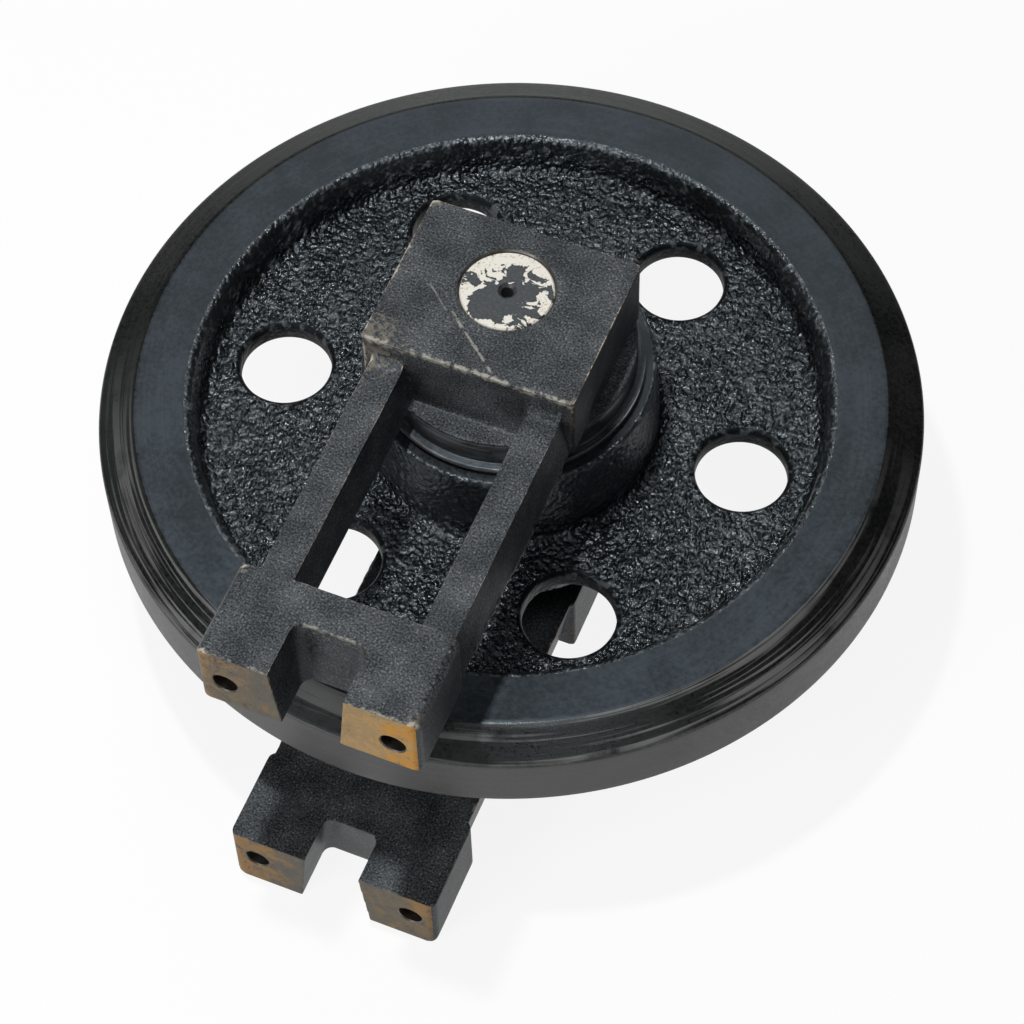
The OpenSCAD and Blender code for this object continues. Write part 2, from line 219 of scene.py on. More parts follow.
class Nodes:
    """Builder of the nodes of one shader or geometry tree."""

    def __init__(self, tree: bpy.types.NodeTree) -> None:
        """Start from an empty tree."""
        self.tree = tree
        tree.nodes.clear()

    @staticmethod
    def pick(sockets: Any, key: str | int) -> bpy.types.NodeSocket:
        """The socket at an index, or the first one in use with a name."""
        if isinstance(key, int):
            return sockets[key]
        return next(s for s in sockets if s.name == key and s.enabled)

    def add(
        self,
        kind: str,
        settings: Mapping[str, Any] | None = None,
        inputs: Mapping[str | int, Any] | None = None,
    ) -> Sock:
        """Add one node.

        Args:
            kind: the node's type.
            settings: properties that are set before the sockets are used.
            inputs: values or links, by socket name or index.

        Returns:
            The node's first output that is in use, or an empty one for an output node.
        """
        node = self.tree.nodes.new(kind)
        for key, value in (settings or {}).items():
            setattr(node, key, value)
        for key, value in (inputs or {}).items():
            target = self.pick(node.inputs, key)
            if isinstance(value, Sock):
                self.tree.links.new(value.socket, target)
            else:
                target.default_value = value
        return Sock(self, next((s for s in node.outputs if s.enabled), None))

    def place(self) -> Sock:
        """Object coordinates, in metres in the CAD frame."""
        return self.add("ShaderNodeTexCoord").of("Object")

    def parts(self, vector: Sock) -> tuple[Sock, Sock, Sock]:
        """The three parts of a vector."""
        split = self.add("ShaderNodeSeparateXYZ", inputs={"Vector": vector})
        return split.of("X"), split.of("Y"), split.of("Z")

    def vector(self, x: Sock | float, y: Sock | float, z: Sock | float) -> Sock:
        """A vector from three values."""
        return self.add("ShaderNodeCombineXYZ", inputs={"X": x, "Y": y, "Z": z})

    def shifted(self, vector: Sock, by: Sequence[float]) -> Sock:
        """A vector moved by a fixed step."""
        return self.add("ShaderNodeVectorMath", {"operation": "ADD"}, {0: vector, 1: tuple(by)})

    def away(self, vector: Sock, spot: Sequence[float]) -> Sock:
        """Distance of a place from a fixed spot."""
        apart = self.add("ShaderNodeVectorMath", {"operation": "DISTANCE"}, {0: vector, 1: tuple(spot)})
        return apart.of("Value")

    def beside(self, vector: Sock, start: Vector, end: Vector) -> Sock:
        """Distance of a place from a straight stretch.

        Args:
            vector: the place.
            start: one end of the stretch.
            end: its other end.

        Returns:
            The distance, in the vector's units.
        """
        run = end - start
        local = self.shifted(vector, -start)
        along = self.add("ShaderNodeVectorMath", {"operation": "DOT_PRODUCT"}, {0: local, 1: run}).of("Value")
        share = (along / run.length_squared).math("MAXIMUM", 0.0).math("MINIMUM", 1.0)
        foot = self.add("ShaderNodeVectorMath", {"operation": "SCALE"}, {0: run, "Scale": share})
        return self.add("ShaderNodeVectorMath", {"operation": "DISTANCE"}, {0: local, 1: foot}).of("Value")

    def noise(self, vector: Sock, size: float, detail: float = 2.0, warp: float = 0.0) -> Sock:
        """Soft noise around 0.5.

        Args:
            vector: where the noise is read.
            size: size of its largest blotches, in the vector's units.
            detail: number of finer layers.
            warp: how far the noise is stirred.

        Returns:
            The noise's value.
        """
        return self.add(
            "ShaderNodeTexNoise",
            {"noise_dimensions": "3D"},
            {"Vector": vector, "Scale": 1.0 / size, "Detail": detail, "Roughness": 0.55, "Distortion": warp},
        )

    def cells(self, vector: Sock, size: float) -> Sock:
        """Distance from the middle of rounded grains, in grain sizes."""
        return self.add(
            "ShaderNodeTexVoronoi",
            {"feature": "SMOOTH_F1"},
            {"Vector": vector, "Scale": 1.0 / size, "Smoothness": 0.35, "Randomness": 1.0},
        )

    def blend(self, share: Sock | float, first: Sock | Colour, second: Sock | Colour) -> Sock:
        """A colour between two colours."""
        return self.add(
            "ShaderNodeMix",
            {"data_type": "RGBA", "clamp_factor": True},
            {"Factor": share, "A": first, "B": second},
        )

    def bump(self, height: Sock, depth: float, below: Sock | None = None) -> Sock:
        """A normal tilted by a height field.

        Args:
            height: height from 0 to about 1.
            depth: depth of a height of 1, in metres.
            below: a normal from a coarser bump.

        Returns:
            The tilted normal.
        """
        inputs: dict[str | int, Any] = {"Strength": 1.0, "Distance": depth, "Height": height}
        if below is not None:
            inputs["Normal"] = below
        return self.add("ShaderNodeBump", inputs=inputs)

    def attribute(self, name: str) -> Sock:
        """A value that the mesh carries at its points."""
        return self.add("ShaderNodeAttribute", {"attribute_name": name}).of("Fac")

    def ring(self) -> tuple[Sock, Sock, Sock, Sock]:
        """Distance from the wheel's axis, the two parts of the direction from it, and the height."""
        x, y, z = self.parts(self.place())
        radius = (x * x + y * y) ** 0.5
        return radius, x / radius, y / radius, z

    def surface(
        self,
        colour: Sock | Colour,
        roughness: Sock | float,
        normal: Sock | None,
        **fixed: float | Colour,
    ) -> Sock:
        """A painted or metal surface.

        Args:
            colour: base colour.
            roughness: surface roughness.
            normal: tilted normal, if any.
            **fixed: constants for the shader's own sockets, with _ for a space.

        Returns:
            The shader.
        """
        inputs: dict[str | int, Any] = {"Base Color": colour, "Roughness": roughness}
        if normal is not None:
            inputs["Normal"] = normal
        for key, value in fixed.items():
            inputs[key.replace("_", " ")] = value
        return self.add("ShaderNodeBsdfPrincipled", inputs=inputs)


# Finishes


@dataclass(frozen=True)
class Finish:
    """A named surface that becomes one material."""

    name: str

    def shade(self, nodes: Nodes) -> Sock:
        """Build the finish's shader."""
        raise NotImplementedError

    def material(self) -> bpy.types.Material:
        """The finish's material, made the first time it is asked for."""
        known = bpy.data.materials.get(self.name)
        if known is not None:
            return known
        material = bpy.data.materials.new(self.name)
        material.use_nodes = True
        nodes = Nodes(material.node_tree)
        nodes.add("ShaderNodeOutputMaterial", inputs={"Surface": self.shade(nodes)})
        return material


@dataclass(frozen=True)
class CastPaint(Finish):
    """Thick black paint that has run over rough sand-cast iron."""

    dark: Colour = (0.003, 0.0035, 0.004, 1.0)
    pale: Colour = (0.066, 0.072, 0.078, 1.0)
    sheen: Colour = (0.80, 0.92, 1.0, 1.0)
    grain: float = 2.7 * MM
    relief: float = 2.0 * MM
    glossy: float = 0.18
    dull: float = 0.32
    shine: float = 1.0
    middle_z: float = MIDDLE_Z
    walls: Point = (10.0 * MM, 22.0 * MM)

    def shade(self, nodes: Nodes) -> Sock:
        """Grainy black paint with glints on the grains, smoother on the upright walls."""
        place = nodes.place()
        _, _, z = nodes.parts(place)
        calm = (z - self.middle_z).math("ABSOLUTE").smooth(*self.walls)
        grains = nodes.cells(place, self.grain)
        knots = nodes.noise(place, self.grain * 1.6, 2.0, 0.6)
        pits = nodes.noise(place, self.grain * 0.4, 2.0)
        height = (grains * -0.8 + knots * 1.2 + pits * 0.2) * (1.0 - calm * 0.6)
        blotches = nodes.noise(place, self.grain * 9.0, 3.0)
        colour = nodes.blend((knots * 0.8 + blotches * 0.2).smooth(0.53, 0.66), self.dark, self.pale)
        roughness = self.glossy + (self.dull - self.glossy) * blotches.smooth(0.36, 0.64) + calm * 0.15
        normal = nodes.bump(height, self.relief)
        return nodes.surface(
            colour, roughness, normal, Specular_Tint=self.sheen, Specular_IOR_Level=self.shine
        )


@dataclass(frozen=True)
class TurnedPaint(Finish):
    """Thin paint over a turned face, with lines that run round the wheel's axis."""

    dark: Colour = (0.009, 0.0107, 0.0125, 1.0)
    pale: Colour = (0.030, 0.036, 0.042, 1.0)
    bare: Colour = (0.10, 0.105, 0.11, 1.0)
    sheen: Colour = (0.70, 0.87, 1.0, 1.0)
    shine: float = 0.42
    pitch: float = 1.1 * MM
    depth: float = 0.012 * MM
    worn: float = 0.06
    # Side mask of the pale streaks: a side other than (0, 0) keeps them to one side, which paints a highlight
    # there
    wear_and_highlight_side: Point = (0.0, 0.0)
    wear_and_highlight_base: float = 1.0
    roughness: float = 0.42

    def shade(self, nodes: Nodes) -> Sock:
        """Paint with turned lines, mottling and rubbed streaks; the side mask can keep the pale streaks to
        one side, where they are a painted highlight.
        """
        place = nodes.place()
        radius, east, north, height = nodes.ring()
        across = radius + height * 0.6
        lines = nodes.noise(nodes.vector(across / self.pitch, east * 1.4, north * 1.4), 1.0, 2.0)
        wide = nodes.noise(nodes.vector(across / (self.pitch * 4.0), east * 2.5, north * 2.5), 1.0, 2.0)
        mottle = nodes.noise(place, 2.0 * MM, 4.0)
        clouds = nodes.noise(place, 30.0 * MM, 3.0)
        colour = nodes.blend((mottle * 0.5 + clouds * 0.5).smooth(0.36, 0.66), self.dark, self.pale)
        # Side mask: 1 everywhere by default; on the shoulder it keeps the pale streaks to the near side as a
        # painted highlight, on top of real wear
        side = (east * self.wear_and_highlight_side[0] + north * self.wear_and_highlight_side[1] + self.wear_and_highlight_base).smooth(-0.1, 0.7)
        streaks = (lines * 0.7 + wide * 0.3).smooth(0.49, 0.58) * clouds.smooth(0.26, 0.50) * side
        colour = nodes.blend(streaks * self.worn, colour, self.bare)
        roughness = self.roughness + (mottle - 0.5) * 0.35 + (clouds - 0.5) * 0.20
        normal = nodes.bump(lines * 0.7 + wide * 0.6, self.depth)
        normal = nodes.bump(nodes.noise(place, 1.3 * MM, 3.0), 0.05 * MM, normal)
        return nodes.surface(
            colour, roughness, normal, Specular_Tint=self.sheen, Specular_IOR_Level=self.shine
        )


@dataclass(frozen=True)
class Mark:
    """A pale line along a straight stretch; the yoke's list holds rubbed scratches and painted highlights
    along rounded edges.
    """

    start: tuple[float, float, float]
    end: tuple[float, float, float]
    half_w: float
    strength: float


@dataclass(frozen=True)
class YokePaint(Finish):
    """Thin speckled paint on a cast yoke, with edges and corners rubbed through to rust and bare iron, and
    pale lines along the front edges and the fin that are partly rubbed paint and partly painted highlights.
    """

    dark: Colour = (0.013, 0.0145, 0.016, 1.0)
    pale: Colour = (0.092, 0.099, 0.106, 1.0)
    fleck: Colour = (0.26, 0.27, 0.27, 1.0)
    dust: Colour = (0.25, 0.222, 0.175, 1.0)
    rust: Colour = (0.15, 0.08, 0.035, 1.0)
    bare: Colour = (0.46, 0.44, 0.38, 1.0)
    sheen: Colour = (0.80, 0.92, 1.0, 1.0)
    shine: float = 0.16
    roughness: float = 0.40
    rubs: tuple[tuple[float, float, float, float], ...] = ()
    marks: tuple[Mark, ...] = ()

    def rubbed(self, nodes: Nodes, place: Sock) -> Sock:
        """Where corners have been rubbed, from 0 to 1."""
        level = nodes.away(place, self.rubs[0][:3]).smooth(self.rubs[0][3], 0.0)
        for x, y, z, reach in self.rubs[1:]:
            level = level.math("MAXIMUM", nodes.away(place, (x, y, z)).smooth(reach, 0.0))
        return level

    def marked(self, nodes: Nodes, place: Sock, ragged: Sock) -> Sock:
        """How strongly the marks show, from 0 to 1."""
        level = None
        for mark in self.marks:
            gap = nodes.beside(place, Vector(mark.start), Vector(mark.end)) / mark.half_w
            shown = (gap - (ragged - 0.5) * 3.0).smooth(1.3, 0.4) * mark.strength
            level = shown if level is None else level.math("MAXIMUM", shown)
        return level * nodes.noise(place, 5.0 * MM, 2.0).smooth(0.38, 0.54)

    def shade(self, nodes: Nodes) -> Sock:
        """Speckled paint with worn edges and corners, and pale edge lines that are partly painted highlights.
        """
        place = nodes.place()
        wear_and_fin_highlight = nodes.attribute("wear_and_fin_highlight")
        speckle = nodes.noise(place, 1.0 * MM, 4.0)
        pits = nodes.noise(place, 1.9 * MM, 3.0)
        clouds = nodes.noise(place, 20.0 * MM, 3.0)
        ragged = nodes.noise(place, 2.6 * MM, 3.0)
        colour = nodes.blend((speckle * 0.7 + clouds * 0.3).smooth(0.38, 0.62), self.dark, self.pale)
        flecks = (nodes.noise(place, 1.0 * MM, 2.0) * 0.75 + clouds * 0.25).smooth(0.59, 0.67)
        colour = nodes.blend(flecks * 0.65, colour, self.fleck)
        corner = self.rubbed(nodes, place)
        dusty = (corner * 0.9 + (ragged - 0.5) * 2.2 + (clouds - 0.5) * 0.8).smooth(0.30, 0.90)
        colour = nodes.blend(dusty * 0.55, colour, self.dust)
        stain = (wear_and_fin_highlight + (clouds - 0.5) * 1.8 + (speckle - 0.5) * 0.6).smooth(0.65, 1.0)
        colour = nodes.blend(stain * 0.5, colour, self.rust)
        edge = (wear_and_fin_highlight + corner * 0.4 + (clouds - 0.58) * 2.2 + (ragged - 0.5) * 1.8).smooth(0.75, 1.0)
        # Pale bare colour for worn edges, scratches and the edge lines; along the front edges and the fin it
        # is partly a painted highlight
        bright = edge.math("MAXIMUM", self.marked(nodes, place, ragged))
        colour = nodes.blend(bright * 0.8, colour, self.bare)
        roughness = self.roughness + (speckle - 0.5) * 0.30 + dusty * 0.2 + bright * 0.1
        normal = nodes.bump(pits.smooth(0.36, 0.62) * 0.5 + speckle * 0.7, 0.16 * MM)
        return nodes.surface(
            colour, roughness, normal, Specular_Tint=self.sheen, Specular_IOR_Level=self.shine
        )


@dataclass(frozen=True)
class RustFace(Finish):
    """Machined end face that was left bare and has gone rusty in patches."""

    steel: Colour = (0.155, 0.145, 0.125, 1.0)
    dull: Colour = (0.26, 0.195, 0.115, 1.0)
    tan: Colour = (0.66, 0.43, 0.19, 1.0)
    orange: Colour = (0.80, 0.37, 0.05, 1.0)
    brown: Colour = (0.13, 0.065, 0.028, 1.0)
    fresh: tuple[float, float, float] = (0.040, -0.227, 0.197)
    fresh_r: float = 45.0 * MM
    middle_x: float = 36.0 * MM
    half_w: float = 17.0 * MM

    def shade(self, nodes: Nodes) -> Sock:
        """Grey-tan iron with orange rust that grows outwards, and brown stains; one face is fresher."""
        place = nodes.place()
        x, _, _ = nodes.parts(place)
        outward = (x.math("ABSOLUTE") - self.middle_x) / self.half_w
        fresh = nodes.away(place, self.fresh).smooth(self.fresh_r, self.fresh_r * 0.6)
        wide = nodes.noise(nodes.shifted(place, (0.31, 0.0, 0.07)), 17.0 * MM, 3.0, 0.4)
        patch = nodes.noise(place, 7.0 * MM, 4.0, 0.6)
        fine = nodes.noise(place, 1.4 * MM, 3.0)
        share = (patch * 0.55 + fine * 0.45 + outward * 0.04).smooth(0.40, 0.62)
        colour = nodes.blend(share, self.steel, nodes.blend(fresh, self.dull, self.tan))
        colour = nodes.blend(fresh * 0.65, colour, self.tan)
        orange = (wide * 0.6 + patch * 0.25 + fine * 0.15 + outward * 0.07 + fresh * 0.03).smooth(0.50, 0.62)
        colour = nodes.blend(orange * (0.28 + fresh * 0.55), colour, self.orange)
        brown = (patch * 0.55 + fine * 0.45 - outward * 0.035).smooth(0.44, 0.36)
        colour = nodes.blend(brown * (0.8 - fresh * 0.35), colour, self.brown)
        normal = nodes.bump(fine + patch * 0.6, 0.2 * MM)
        return nodes.surface(colour, 0.62 + (fine - 0.5) * 0.3, normal, Specular_IOR_Level=0.3)


@dataclass(frozen=True)
class PeeledEnd(Finish):
    """Shaft steel whose end faces keep patches of a peeling pale primer."""

    steel: Colour = (0.030, 0.032, 0.034, 1.0)
    worn: Colour = (0.055, 0.058, 0.060, 1.0)
    primer: Colour = (0.72, 0.69, 0.62, 1.0)
    stain: Colour = (0.42, 0.34, 0.23, 1.0)
    sheen: Colour = (0.84, 0.94, 1.0, 1.0)
    face_r: float = 22.5 * MM
    middle_z: float = MIDDLE_Z
    face_z: float = 0.1065
    bare_spot: tuple[float, float] = (-4.5 * MM, -10.0 * MM)
    bare_r: float = 13.0 * MM

    def shade(self, nodes: Nodes) -> Sock:
        """Dark turned steel, with flakes of primer on the end faces only."""
        place = nodes.place()
        x, y, _ = nodes.parts(place)
        radius, _, _, height = nodes.ring()
        flakes = nodes.noise(nodes.shifted(place, (0.013, -0.021, 0.0)), 8.5 * MM, 3.0, 0.9)
        fine = nodes.noise(place, 1.4 * MM, 3.0)
        outward = (radius / self.face_r).smooth(0.35, 1.0)
        bare_x, bare_y = x - self.bare_spot[0], y - self.bare_spot[1]
        bare = ((bare_x * bare_x + bare_y * bare_y) ** 0.5).smooth(self.bare_r, self.bare_r * 0.45)
        level = flakes * 0.85 + fine * 0.15 + (outward - 0.4) * 0.14 - bare * 0.28
        ends = (height - self.middle_z).math("ABSOLUTE").smooth(self.face_z, self.face_z + 0.5 * MM)
        flaked = level.smooth(0.49, 0.505) * ends
        steel = nodes.blend(fine.smooth(0.35, 0.70), self.steel, self.worn)
        primer = nodes.blend((fine * 0.6 + flakes * 0.4).smooth(0.50, 0.36), self.primer, self.stain)
        colour = nodes.blend(flaked, steel, primer)
        roughness = 0.40 + flaked * 0.3 + (fine - 0.5) * 0.15
        normal = nodes.bump(flaked * 0.8 + fine * 0.3, 0.15 * MM)
        return nodes.surface(colour, roughness, normal, Specular_Tint=self.sheen)


@dataclass(frozen=True)
class PlainMetal(Finish):
    """Bare turned metal with fine tool marks and a little tarnish."""

    bright: Colour = (0.50, 0.50, 0.50, 1.0)
    tarnish: Colour = (0.30, 0.28, 0.25, 1.0)
    metal: float = 1.0
    roughness: float = 0.34
    mark: float = 0.5 * MM

    def shade(self, nodes: Nodes) -> Sock:
        """Metal with tool marks and clouds of tarnish."""
        place = nodes.place()
        clouds = nodes.noise(place, 9.0 * MM, 4.0)
        x, y, z = nodes.parts(place)
        wide = self.mark * 8.0
        marks = nodes.noise(nodes.vector(x / wide, y / wide, z / self.mark), 1.0, 2.0)
        colour = nodes.blend(clouds.smooth(0.35, 0.68), self.bright, self.tarnish)
        roughness = self.roughness + (clouds - 0.5) * 0.3 + (marks - 0.5) * 0.1
        return nodes.surface(colour, roughness, nodes.bump(marks, 0.02 * MM), Metallic=self.metal)


@dataclass(frozen=True)
class SealRubber(Finish):
    """Moulded black rubber with a dusty bloom."""

    black: Colour = (0.015, 0.015, 0.016, 1.0)
    bloom: Colour = (0.06, 0.06, 0.062, 1.0)

    def shade(self, nodes: Nodes) -> Sock:
        """Matt rubber with a soft bloom."""
        place = nodes.place()
        clouds = nodes.noise(place, 6.0 * MM, 3.0)
        grain = nodes.noise(place, 0.6 * MM, 2.0)
        colour = nodes.blend(clouds.smooth(0.4, 0.75), self.black, self.bloom)
        return nodes.surface(colour, 0.6 + (clouds - 0.5) * 0.2, nodes.bump(grain, 0.03 * MM))


@dataclass(frozen=True)
class PaleFloor(Finish):
    """Plain pale floor that looks white to the camera, keeps the object's shadow and is clear from below."""

    tone: Colour = (0.92, 0.92, 0.92, 1.0)
    unseen: Colour = (0.16, 0.16, 0.16, 1.0)
    lift: float = 0.88

    def shade(self, nodes: Nodes) -> Sock:
        """A matt floor, lifted towards white for the rays that see it directly or in a reflection."""
        path = nodes.add("ShaderNodeLightPath")
        seen = path.of("Is Camera Ray") + path.of("Is Glossy Ray") + path.of("Is Transmission Ray")
        matt = nodes.add("ShaderNodeBsdfDiffuse", inputs={"Color": self.tone})
        bounce = nodes.add("ShaderNodeBsdfDiffuse", inputs={"Color": self.unseen})
        white = nodes.add("ShaderNodeEmission", inputs={"Color": (1.0, 1.0, 1.0, 1.0), "Strength": 1.0})
        lifted = nodes.add("ShaderNodeMixShader", inputs={0: self.lift, 1: matt, 2: white})
        shown = nodes.add("ShaderNodeMixShader", inputs={0: seen.math("MINIMUM", 1.0), 1: bounce, 2: lifted})
        clear = nodes.add("ShaderNodeBsdfTransparent")
        below = nodes.add("ShaderNodeNewGeometry").of("Backfacing")
        return nodes.add("ShaderNodeMixShader", inputs={0: below, 1: shown, 2: clear})


# The finishes of this idler
WEB_CAST = CastPaint("web_cast_paint")
HOLE_CAST = CastPaint("hole_cast_paint", relief=0.4 * MM, glossy=0.45, dull=0.60, shine=0.15)
RIM_PAINT = TurnedPaint("rim_turned_paint")
# Shoulder: very dark glossy paint; its pale bare streaks sit on the near side only and are partly real wear
# and partly a painted highlight
SHOULDER_PAINT = TurnedPaint(
    "shoulder_turned_paint",
    dark=(0.003, 0.003, 0.003, 1.0),
    pale=(0.010, 0.010, 0.009, 1.0),
    bare=(0.24, 0.24, 0.237, 1.0),
    sheen=(0.88, 0.96, 1.0, 1.0),
    shine=0.45,
    worn=0.50,
    wear_and_highlight_side=(0.2, -0.9),
    wear_and_highlight_base=0.0,
    depth=0.08 * MM,
    pitch=1.3 * MM,
    roughness=0.33,
)
FLANGE_WEAR = TurnedPaint(
    "flange_worn_paint",
    dark=(0.042, 0.042, 0.041, 1.0),
    pale=(0.088, 0.087, 0.084, 1.0),
    sheen=(0.95, 0.97, 1.0, 1.0),
    worn=0.20,
    roughness=0.44,
)
HUB_PAINT = TurnedPaint(
    "hub_face_paint",
    dark=(0.008, 0.009, 0.010, 1.0),
    pale=(0.024, 0.026, 0.028, 1.0),
    worn=0.15,
    depth=0.03 * MM,
    roughness=0.32,
)
COLLAR_PAINT = TurnedPaint(
    "collar_turned_paint",
    dark=(0.014, 0.015, 0.016, 1.0),
    pale=(0.050, 0.053, 0.056, 1.0),
    bare=(0.22, 0.22, 0.22, 1.0),
    worn=0.3,
    depth=0.03 * MM,
    roughness=0.34,
)
COLLAR_EDGE = TurnedPaint(
    "worn_collar_edge",
    dark=(0.06, 0.062, 0.064, 1.0),
    pale=(0.15, 0.155, 0.16, 1.0),
    bare=(0.42, 0.43, 0.44, 1.0),
    worn=0.7,
    roughness=0.34,
)
BORE_STEEL = PlainMetal(
    "bored_iron",
    bright=(0.20, 0.19, 0.18, 1.0),
    tarnish=(0.09, 0.075, 0.06, 1.0),
    roughness=0.5,
)
YOKE_PAINT = YokePaint(
    "worn_yoke_paint",
    rubs=(
        (-0.0525, -0.0490, TOP_Z, 34.0 * MM),
        (0.0525, -0.0490, TOP_Z, 10.0 * MM),
        (-0.0525, 0.0360, TOP_Z, 9.0 * MM),
        (-0.0530, -0.1790, TOP_Z, 12.0 * MM),
        (0.0530, -0.2270, TOP_Z, 14.0 * MM),
    ),
    marks=(
        Mark((-0.0347, -0.0096, TOP_Z), (-0.0197, -0.0227, TOP_Z), 0.4 * MM, 0.35),
        Mark((-0.0190, -0.0205, TOP_Z), (0.0130, -0.0473, TOP_Z), 0.7 * MM, 0.60),
        # Pale lines along the block's front edge, the notch's back edge and the crosshead's front edges:
        # partly rubbed paint, partly painted highlights on the rounded edges
        Mark((-0.0500, -0.0484, RUBBED_AND_HIGHLIT_EDGE_Z), (0.0500, -0.0484, RUBBED_AND_HIGHLIT_EDGE_Z), 1.5 * MM, 0.85),
        Mark((-0.0130, -0.1982, RUBBED_AND_HIGHLIT_NOTCH_Z), (0.0130, -0.1982, RUBBED_AND_HIGHLIT_NOTCH_Z), 1.1 * MM, 0.6),
        Mark((-0.0520, -0.2264, RUBBED_AND_HIGHLIT_EDGE_Z), (-0.0190, -0.2264, RUBBED_AND_HIGHLIT_EDGE_Z), 1.0 * MM, 0.5),
        Mark((0.0190, -0.2264, RUBBED_AND_HIGHLIT_EDGE_Z), (0.0520, -0.2264, RUBBED_AND_HIGHLIT_EDGE_Z), 1.0 * MM, 0.7),
    ),
)
LUG_RUST = RustFace("lug_rust")
SHAFT_END = PeeledEnd("shaft_peeled_steel")
BUSH_BRONZE = PlainMetal("turned_bronze", bright=(0.62, 0.42, 0.19, 1.0), tarnish=(0.36, 0.22, 0.10, 1.0))
SEAL_STEEL = PlainMetal("lapped_seal_steel", bright=(0.46, 0.47, 0.49, 1.0), roughness=0.22)
SEAL_RUBBER = SealRubber("moulded_rubber")
PIN_STEEL = PlainMetal(
    "dull_pin_steel",
    bright=(0.30, 0.30, 0.30, 1.0),
    tarnish=(0.16, 0.11, 0.07, 1.0),
    roughness=0.45,
)
WASHER_COPPER = PlainMetal("soft_copper", bright=(0.72, 0.33, 0.19, 1.0), tarnish=(0.38, 0.17, 0.10, 1.0))
FLOOR = PaleFloor("pale_floor")


# Geometry Nodes and mesh helpers


class GeometryTree:
    """A Geometry Nodes tree with named inputs that ends in Realize Instances and Set Material."""

    KINDS = {
        "geometry": "NodeSocketGeometry",
        "float": "NodeSocketFloat",
        "int": "NodeSocketInt",
        "material": "NodeSocketMaterial",
    }

    def __init__(self, name: str, inputs: Mapping[str, str]) -> None:
        """Make the tree and its inputs.

        Args:
            name: the tree's name.
            inputs: kind of each named input.
        """
        self.tree = bpy.data.node_groups.new(name, "GeometryNodeTree")
        self.tree.interface.new_socket("Geometry", in_out="INPUT", socket_type=self.KINDS["geometry"])
        self.ids: dict[str, str] = {}
        for label, kind in inputs.items():
            item = self.tree.interface.new_socket(label, in_out="INPUT", socket_type=self.KINDS[kind])
            self.ids[label] = item.identifier
        self.tree.interface.new_socket("Geometry", in_out="OUTPUT", socket_type=self.KINDS["geometry"])
        self.nodes = Nodes(self.tree)
        self.given = self.nodes.add("NodeGroupInput")

    def value(self, label: str) -> Sock:
        """The socket of a named input."""
        return self.given.of(label)

    def finish(self, geometry: Sock, selection: Sock | None = None) -> None:
        """End the tree.

        Args:
            geometry: what the tree has made.
            selection: faces that take the material; all of them if left out.
        """
        real = self.nodes.add("GeometryNodeRealizeInstances", inputs={"Geometry": geometry})
        inputs: dict[str | int, Any] = {"Geometry": real, "Material": self.value("Material")}
        if selection is not None:
            inputs["Selection"] = selection
        painted = self.nodes.add("GeometryNodeSetMaterial", inputs=inputs)
        self.nodes.add("NodeGroupOutput", inputs={"Geometry": painted})

    def run(self, piece: bpy.types.Object, values: Mapping[str, Any]) -> None:
        """Replace a piece's mesh by what the tree makes of it.

        Args:
            piece: object whose mesh goes in.
            values: value of each named input.
        """
        modifier = piece.modifiers.new(self.tree.name, "NODES")
        modifier.node_group = self.tree
        for label, value in values.items():
            modifier[self.ids[label]] = value
        bake(piece)


def bake(piece: bpy.types.Object) -> None:
    """Turn a piece with modifiers into a plain mesh without them.

    Args:
        piece: object to bake.
    """
    graph = bpy.context.evaluated_depsgraph_get()
    graph.update()
    mesh = bpy.data.meshes.new_from_object(piece.evaluated_get(graph), depsgraph=graph)
    mesh.name = piece.name
    piece.modifiers.clear()
    piece.data = mesh


def new_piece(name: str, mesh: bpy.types.Mesh | None = None) -> bpy.types.Object:
    """Link a new object with a mesh to the scene.

    Args:
        name: name of the object.
        mesh: its mesh; an empty one if left out.

    Returns:
        The object.
    """
    piece = bpy.data.objects.new(name, mesh or bpy.data.meshes.new(name))
    bpy.context.scene.collection.objects.link(piece)
    return piece


def combine(piece: bpy.types.Object, tool: bpy.types.Object, operation: str) -> None:
    """Add a tool's solid to a piece or cut it off, and remove the tool.

    Args:
        piece: piece that changes.
        tool: closed solid.
        operation: UNION or DIFFERENCE.
    """
    modifier = piece.modifiers.new(tool.name, "BOOLEAN")
    modifier.operation = operation
    modifier.solver = "MANIFOLD"
    modifier.object = tool
    bake(piece)
    drop(tool)


def drop(piece: bpy.types.Object) -> None:
    """Remove a helper object and its mesh."""
    mesh = piece.data
    bpy.data.objects.remove(piece)
    bpy.data.meshes.remove(mesh)


def coordinates(mesh: bpy.types.Mesh) -> np.ndarray:
    """The points of a mesh, one row each."""
    flat = np.empty(len(mesh.vertices) * 3, np.float64)
    mesh.vertices.foreach_get("co", flat)
    return flat.reshape(-1, 3)


def set_value(mesh: bpy.types.Mesh, name: str, values: np.ndarray) -> None:
    """Store one value for each point of a mesh.

    Args:
        mesh: the mesh.
        name: name of the attribute.
        values: the values, in the order of the points.
    """
    layer = mesh.attributes.get(name) or mesh.attributes.new(name, "FLOAT", "POINT")
    layer.data.foreach_set("value", values.astype(np.float32))


def soft_step(values: np.ndarray, low: float, high: float) -> np.ndarray:
    """Smooth steps from 0 to 1 between two values."""
    share = np.clip((values - low) / (high - low), 0.0, 1.0)
    return share * share * (3.0 - 2.0 * share)


